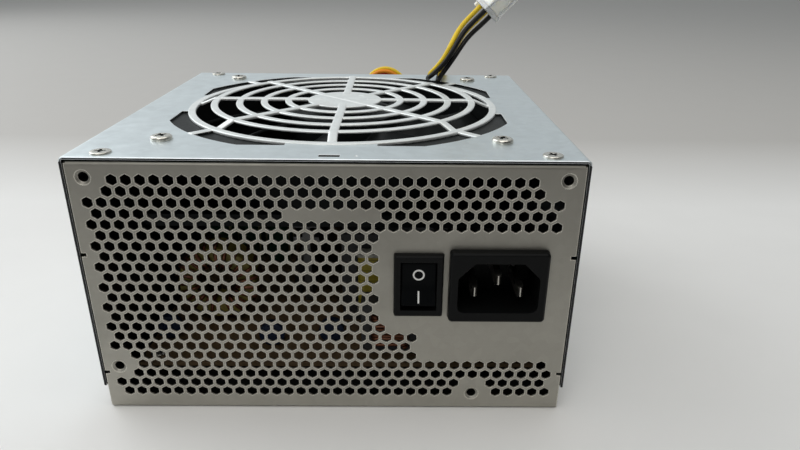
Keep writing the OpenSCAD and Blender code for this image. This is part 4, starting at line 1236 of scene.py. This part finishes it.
def make_rotor():
    """The hub, a cup with a stepped face, and the blades round it."""
    hub_low, hub_top, hub_r = 65.2, 83.6, 20.5
    hub = post("hub", (0, 0, hub_low), hub_r, hub_top - hub_low, 72)
    pick(hub, "FACE", lambda middle, normal: normal.z < -0.9)
    bpy.ops.mesh.delete(type="FACE")
    pick(hub, "FACE", lambda middle, normal: normal.z > 0.9)
    bpy.ops.mesh.inset(thickness=2.6 * MM)
    bpy.ops.mesh.inset(thickness=0.4 * MM, depth=-0.35 * MM)
    bpy.ops.mesh.inset(thickness=8 * MM)
    bpy.ops.mesh.inset(thickness=0.5 * MM, depth=0.3 * MM)
    leave_edit()
    modify(hub, "SOLIDIFY", thickness=1.5 * MM, offset=-1)
    round_off(hub, 0.5, 3, 35)
    blade = make_blade()
    turns = [Matrix.Rotation(math.radians(360 / BLADES) * number, 4, "Z") for number in range(BLADES)]
    blades = [copy_of(blade, "blade", turn) for turn in turns]
    bpy.data.objects.remove(blade)
    rotor = join("rotor_moulding", [hub] + blades)
    rotor.data.transform(Matrix.Translation(mm(0, FAN_Y, 0)))
    smooth(rotor, 35)
    finish_piece(rotor, "rotor", "fan", "fan_plastic", "fan_rotor")


# Plugs and ties


def make_cpu_plug():
    """Four-way plug in natural nylon: shrouded body, wire collar, four cells and a side latch."""
    body = bar("body", (-4.6, -4.6, 0), (4.6, 4.6, 19))
    collar = bar("collar", (-4.9, -4.9, 0), (4.9, 4.9, 2))
    round_off(collar, 0.3, 2)
    off = PLUG_PITCH / 2
    spots = [(x, y) for x in (-off, off) for y in (-off, off)]
    cells = [bar("cell", (x - 1.5, y - 1.5, 8), (x + 1.5, y + 1.5, 20)) for x, y in spots]
    cut(body, *cells)
    corner_cuts = [bar("notch", (-0.5, 4.1, 8), (0.5, 6, 20)), bar("notch", (4.1, -0.5, 8), (6, 0.5, 20))]
    cut(body, *corner_cuts)
    round_off(body, 0.3, 3)
    latch = bar("latch", (-2, 5.7, -1.5), (2, 6.9, 14))
    pick(latch, "FACE", lambda middle, normal: normal.z > 0.9)
    bpy.ops.mesh.extrude_region_move(TRANSFORM_OT_translate={"value": mm(0, -0.35, 0.9)})
    bpy.ops.transform.resize(value=(1, 0.5, 1), center_override=mm(0, 5.7, 15))
    leave_edit()
    round_off(latch, 0.25, 2)
    root = bar("root", (-2, 4.3, 6.5), (2, 6.5, 9))
    round_off(root, 0.3, 2)
    ribs = [bar("rib", (side * 3.3 - 0.4, -5.0, 2), (side * 3.3 + 0.4, -4.4, 18)) for side in (-1, 1)]
    for rib in ribs:
        round_off(rib, 0.15, 2)
    plug = join("cpu_plug_body", [body, collar, latch, root] + ribs)
    base = behind_wall(CPU_ROUTE)[-1]
    plug.data.transform(Matrix.Translation(base * MM) @ PLUG_TURN)
    return finish_piece(plug, "case", "natural", "plug_natural", "cpu_plug")


def make_drive_plug():
    """Flat drive plug lying on the floor: stepped black body with an angled contact slot."""
    x, y, z = behind_wall(DRIVE_ROUTE)[-1]
    body = bar("body", (x, y - 11, z - 3), (x + 9, y + 11, z + 3.2))
    round_off(body, 0.5, 3)
    mouth = bar("mouth", (x + 8, y - 11.6, z - 3.1), (x + 17, y + 11.6, z + 3.4))
    slot = bar("slot", (x + 10, y - 10, z - 0.4), (x + 18, y + 10, z + 2.2))
    key = bar("key", (x + 10, y + 8.6, z - 2), (x + 18, y + 10, z))
    cut(mouth, slot, key)
    round_off(mouth, 0.35, 3)
    starts = [x + 2 + step * 1.8 for step in range(3)]
    grips = [bar("grip", (start, y - 7, z + 3), (start + 0.9, y + 7, z + 3.6)) for start in starts]
    for grip in grips:
        round_off(grip, 0.2, 2)
    plug = join("drive_plug_body", [body, mouth] + grips)
    return finish_piece(plug, "case", "connector", "plug_black", "drive_plug")


def make_tie(gap, radius):
    """A cable tie round two leads: thin rounded band, locking head and a cut tail; flat on z = 0."""
    quarter = math.radians(90)
    thick = 0.9

    def stadium(r):
        right = [(gap / 2 + a, b) for a, b in arc(r, -quarter, quarter, 14)]
        left = [(-gap / 2 + a, b) for a, b in arc(r, quarter, 3 * quarter, 14)]
        return right + left

    band = plate_from("band", stadium(radius + thick), -1.25, 1.25)
    hole = plate_from("hole", stadium(radius), -2, 2)
    cut(band, hole)
    round_off(band, 0.2, 2, 40)
    head = bar("head", (-2, radius + 0.5, -1.9), (2, radius + thick + 2.6, 1.9))
    mouth = bar("mouth", (-0.7, radius + thick + 0.2, -1.3), (0.5, radius + thick + 4, 1.3))
    cut(head, mouth)
    round_off(head, 0.35, 3, 40)
    tail = bar("tail", (-0.5, radius + thick + 0.5, -1.2), (0.3, radius + thick + 3.6, 1.2))
    round_off(tail, 0.15, 2)
    return join("tie", [band, head, tail])


def make_ties():
    flat = Matrix.Rotation(math.radians(90), 4, "X")
    across = Matrix.Rotation(math.radians(90), 4, "Z") @ flat
    places = [
        (6, DRIVE_D / 2 + 0.15, Matrix.Translation(mm(30, WALL + 18, 61))),
        (7.6, CPU_D / 2 + 0.3, Matrix.Translation(mm(-28, WALL + 26, 4.4)) @ across),
        (8.2, DRIVE_D / 2 + 0.3, Matrix.Translation(mm(-34, WALL + 59.5, 4.6)) @ across),
    ]
    ties = []
    for gap, radius, place in places:
        tie = make_tie(gap, radius)
        tie.data.transform(place)
        ties.append(tie)
    return finish_piece(join("cable_ties", ties), "case", "tie", "nylon", "lead_ties")


# Windings and inner wires


def tape_winding(node, name):
    """A taped winding with rounded corners and the bobbin's two flanges, in its node's space."""
    low, high = [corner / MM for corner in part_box(node)]
    coil = bar(name, low + Vector((0.3, 0.3, 1.2)), high - Vector((0.3, 0.3, 1.2)))
    pick(coil, "EDGE", lambda middle, way: abs(way.z) > 0.9)
    bpy.ops.mesh.bevel(offset=3 * MM, segments=5, affect="EDGES")
    pick(coil, "FACE", lambda middle, normal: abs(normal.z) > 0.9)
    bpy.ops.mesh.inset(thickness=0.8 * MM)
    leave_edit()
    round_off(coil, 0.3, 2)
    finish_piece(coil, "case", "tape", "tape", node)
    flanges = []
    for bottom in (low.z, high.z - 1.2):
        flange = bar("flange", (low.x, low.y, bottom), (high.x, high.y, bottom + 1.2))
        pick(flange, "EDGE", lambda middle, way: abs(way.z) > 0.9)
        bpy.ops.mesh.bevel(offset=1.5 * MM, segments=3, affect="EDGES")
        leave_edit()
        round_off(flange, 0.2, 2)
        flanges.append(flange)
    finish_piece(join(f"{name}_flanges", flanges), "case", "header", "nylon")


def coil_points(half_a, half_b, corner, length, turns):
    """A winding round a rectangle with rounded corners in x and y, climbing along z from 0."""
    quarter = math.radians(90)
    loop = []
    for number, (a, b) in enumerate([(1, -1), (1, 1), (-1, 1), (-1, -1)]):
        start = (number - 1) * quarter
        for x, y in arc(corner, start, start + quarter, 4):
            loop.append((a * (half_a - corner) + x, b * (half_b - corner) + y))
    count = len(loop) * turns
    return [Vector((*loop[i % len(loop)], length * i / (count - 1))) for i in range(count)]


def make_line_choke():
    low, high = [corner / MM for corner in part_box("line_choke_winding")]
    middle = (low + high) / 2
    thick = 1.15
    coils = []
    for inset in (thick / 2, thick * 1.5):
        half_x, half_y = (high.x - low.x) / 2 - inset, (high.y - low.y) / 2 - inset
        height = high.z - low.z - thick - 0.2
        points = [
            point + Vector((middle.x, middle.y, low.z + thick / 2 + 0.1))
            for point in coil_points(half_x, half_y, 1.6, height, 10)
        ]
        coils.append(wire("choke_coil", points, thick, "copper", 8))
    piece = join("line_choke_coil", coils)
    seat(piece, "case", "copper", "line_choke_winding")


def make_ring_choke():
    """Copper wire wound round the ring core, with its two legs to the board."""
    middle = Vector((-46, -28, 26.6))
    turns, steps = 22, 16
    thick = 1.5
    out_r, in_r, side = 15.1, 6.9, 6.1
    centre, half_r = (out_r + in_r) / 2, (out_r - in_r) / 2
    points = [Vector((middle.x + 2.62, middle.y, BOARD_TOP))]
    for i in range(turns * steps + 1):
        angle = math.radians(-80 + 340 * i / (turns * steps))
        phase = 2 * math.pi * i / steps
        radial, across = math.cos(phase), math.sin(phase)
        stretch = 1 / max(abs(radial), abs(across)) ** 0.72
        r = centre + half_r * max(-1, min(1, radial * stretch))
        y = side * max(-1, min(1, across * stretch))
        points.append(middle + Vector((r * math.cos(angle), y, r * math.sin(angle))))
    points.append(Vector((middle.x - 2.62, middle.y, BOARD_TOP)))
    piece = wire("ring_choke_coil", points, thick - 0.1, "copper", 8)
    seat(piece, "case", "copper", "ring_choke_winding")


def make_fan_coils():
    thick = 0.9
    turn = Matrix.Rotation(math.radians(90), 4, "Y")
    coils = []
    for layer in (0, 1):
        half = 2.6 + layer * thick
        points = [
            turn @ point + Vector((8.3, 0, 3.5)) for point in coil_points(half + 0.95, half, 0.8, 5.2, 6)
        ]
        coils.append(wire("arm_coil", points, thick, "copper", 8))
    coil = join("arm_coil", coils)
    lift = Matrix.Translation(mm(0, FAN_Y, 66.2))
    quarters = [Matrix.Rotation(math.radians(90) * number, 4, "Z") for number in range(4)]
    pieces = [copy_of(coil, "arm_coil", lift @ quarter) for quarter in quarters]
    bpy.data.objects.remove(coil)
    piece = join("stator_coils", pieces)
    seat(piece, "case", "copper", "fan_coils")


def make_inner_wires(cpu_strands, drive_strands):
    """The leads' wires carried on from the grommet down to the board."""

    def straight(run):
        return 0.0

    parts = [
        bundle("inner_cpu", spline(behind_wall(INNER_CPU_ROUTE), 5), straight, cpu_strands, CPU_WIRE),
        bundle("inner_drive", spline(behind_wall(INNER_DRIVE_ROUTE), 5), straight, drive_strands, DRIVE_WIRE),
    ]
    piece = join("inner_wire_bundles", parts)
    seat(piece, "case", "wire_yellow", "inner_wires")


def run_wires(name, node, slot, runs, thick):
    """Fixed wires inside the case, each a finish and the points it runs through."""
    wires = [
        wire(f"{name}_{number}", spline([Vector(point) for point in points], 5), thick, finish)
        for number, (finish, points) in enumerate(runs)
    ]
    seat(join(name, wires), "case", slot, node)


def make_mains_wires():
    """Wires from the inlet's pins to the switch and the board, the earth wire, and the fan's two wires."""
    ix, iz = INLET
    sx, sz = SWITCH
    pin_tail = PANEL_Y + 24
    pin_low = iz - 2
    back = PANEL_Y + 14
    run_wires("mains_wires", "mains_leads", "mains_wire", [
        ("brown", [(ix - 7, pin_tail, pin_low), (ix - 7, pin_tail + 2, pin_low),
                   (ix - 7, pin_tail + 5, pin_low), (ix - 16, pin_tail + 8, sz + 2),
                   (sx, back + 14, sz + 3.4), (sx, back + 11, sz + 3.4), (sx, back + 8, sz + 3.4)]),
        ("brown", [(sx, back + 8, sz - 4.6), (sx, back + 10, sz - 4.6), (sx, back + 12, sz - 4.6),
                   (sx + 8, back + 14, 28), (sx + 8, back + 12, 16), (sx + 8, back + 12, BOARD_TOP)]),
        ("blue", [(ix + 7, pin_tail, pin_low), (ix + 7, pin_tail + 2, pin_low),
                  (ix + 7, pin_tail + 5, pin_low), (ix + 12, pin_tail + 8, 32),
                  (ix + 14, pin_tail + 6, 18), (ix + 14, pin_tail + 6, BOARD_TOP)]),
    ], 2)
    run_wires("earth_wire", "earth_lead", "earth_wire", [
        ("earth", [(ix, pin_tail, pin_low + 4), (ix, pin_tail + 6, pin_low + 4), (ix - 9, pin_tail + 10, 36),
                   (ix - 10, pin_tail + 8, 20), (ix - 10, pin_tail + 8, BOARD_TOP)]),
    ], 2)
    fan_run = [
        (-57, 52, 60.2), (-57, 52, 52.2), (-58, 52, 36), (-53, 54, 26), (-53, 54, 20.4), (-53, 54, 15.4),
    ]
    shifted = [
        (finish, [(x + shift, y, z) for x, y, z in fan_run])
        for finish, shift in (("red", -0.5), ("black", 0.5))
    ]
    run_wires("fan_wires", "fan_lead", "fan_wire", shifted, 1)


# Floor, light and background


def set_stage():
    """A plain pale floor, darker far behind, with painted shadow in front towards the viewer."""
    clear_selection()
    bpy.ops.mesh.primitive_plane_add(size=8, location=(0, 0, -0.00005))
    floor = settle("floor")
    finish = Finish("pale_floor")
    grain = finish.noise(30, 4)
    depth = finish.along("Y")
    far = finish.steps(depth * 2.2, 0.26, 0.60)
    # Painted shadow on the floor in front, towards the viewer
    front = finish.steps(depth * -1.0, 0.1, 0.7)
    near = finish.blend(grain, (0.75, 0.745, 0.735, 1), (0.79, 0.785, 0.775, 1))
    shaded = finish.blend(front, near, (0.40, 0.39, 0.38, 1))
    finish.set(
        Base_Color=finish.blend(far, shaded, (0.50, 0.485, 0.465, 1)),
        Roughness=0.5 + 0.1 * grain,
        Specular_IOR_Level=0.3,
    )
    floor.data.materials.append(finish.material)


def set_world():
    """Soft surroundings: brighter behind and to the left, dim towards the viewer."""
    world = bpy.data.worlds.new("studio")
    bpy.context.scene.world = world
    world.use_nodes = True
    finish = Finish("studio", world.node_tree)
    background = world.node_tree.nodes["Background"]
    direction = finish.node("ShaderNodeTexCoord", out="Generated")
    rightward, forward, upward = [finish.along(axis, direction) for axis in "XYZ"]
    bright = finish.steps(0.40 + 0.34 * forward + 0.20 * upward - 0.24 * rightward, 0.08, 1.0)
    colour = finish.blend(bright, (0.05, 0.048, 0.044, 1), (0.90, 0.95, 0.97, 1))
    finish.feed(background.inputs["Color"], colour)
    background.inputs["Strength"].default_value = 0.72


def add_lamp(name, place, target, size, power, colour):
    light = bpy.data.lights.new(name, "AREA")
    light.shape = "RECTANGLE"
    light.size, light.size_y = size
    light.energy = power
    light.color = colour
    lamp = bpy.data.objects.new(name, light)
    lamp.location = place
    lamp.rotation_mode = "QUATERNION"
    lamp.rotation_quaternion = (Vector(target) - Vector(place)).to_track_quat("-Z", "Y")
    bpy.context.scene.collection.objects.link(lamp)


def set_light():
    set_world()
    add_lamp("window", (-1.1, 0.5, 0.9), (0, 0, 0.05), (1.4, 1.2), 11, (0.96, 0.985, 1.0))
    add_lamp("ceiling", (0.1, -0.3, 1.2), (0, -0.1, 0), (1.4, 1.0), 6, (1.0, 0.97, 0.92))
    add_lamp("fill", (-0.35, -1.0, 1.0), (0, 0, 0.05), (0.8, 0.6), 3, (1.0, 0.98, 0.95))


set_camera()
FINISHES = make_finishes()
finish_nodes()
make_cover()
make_grille()
make_screws()
make_inlet()
make_switch()
make_rotor()
make_mains_wires()
tape_winding("transformer_winding", "transformer_coil")
tape_winding("standby_winding", "standby_coil")
make_line_choke()
make_ring_choke()
make_fan_coils()
cpu_wires, cpu_line, cpu_inside = make_cpu_lead()
drive_wires, drive_line, drive_inside = make_drive_lead()
make_inner_wires(cpu_inside, drive_inside)
cpu_plug = make_cpu_plug()
drive_plug = make_drive_plug()
ties = make_ties()
set_stage()
set_light()

run_length(cpu_line) * MM
[point * MM for point in cpu_line]
run_length(drive_line) * MM
[point * MM for point in drive_line]

bpy.context.scene.view_settings.view_transform = "Standard"
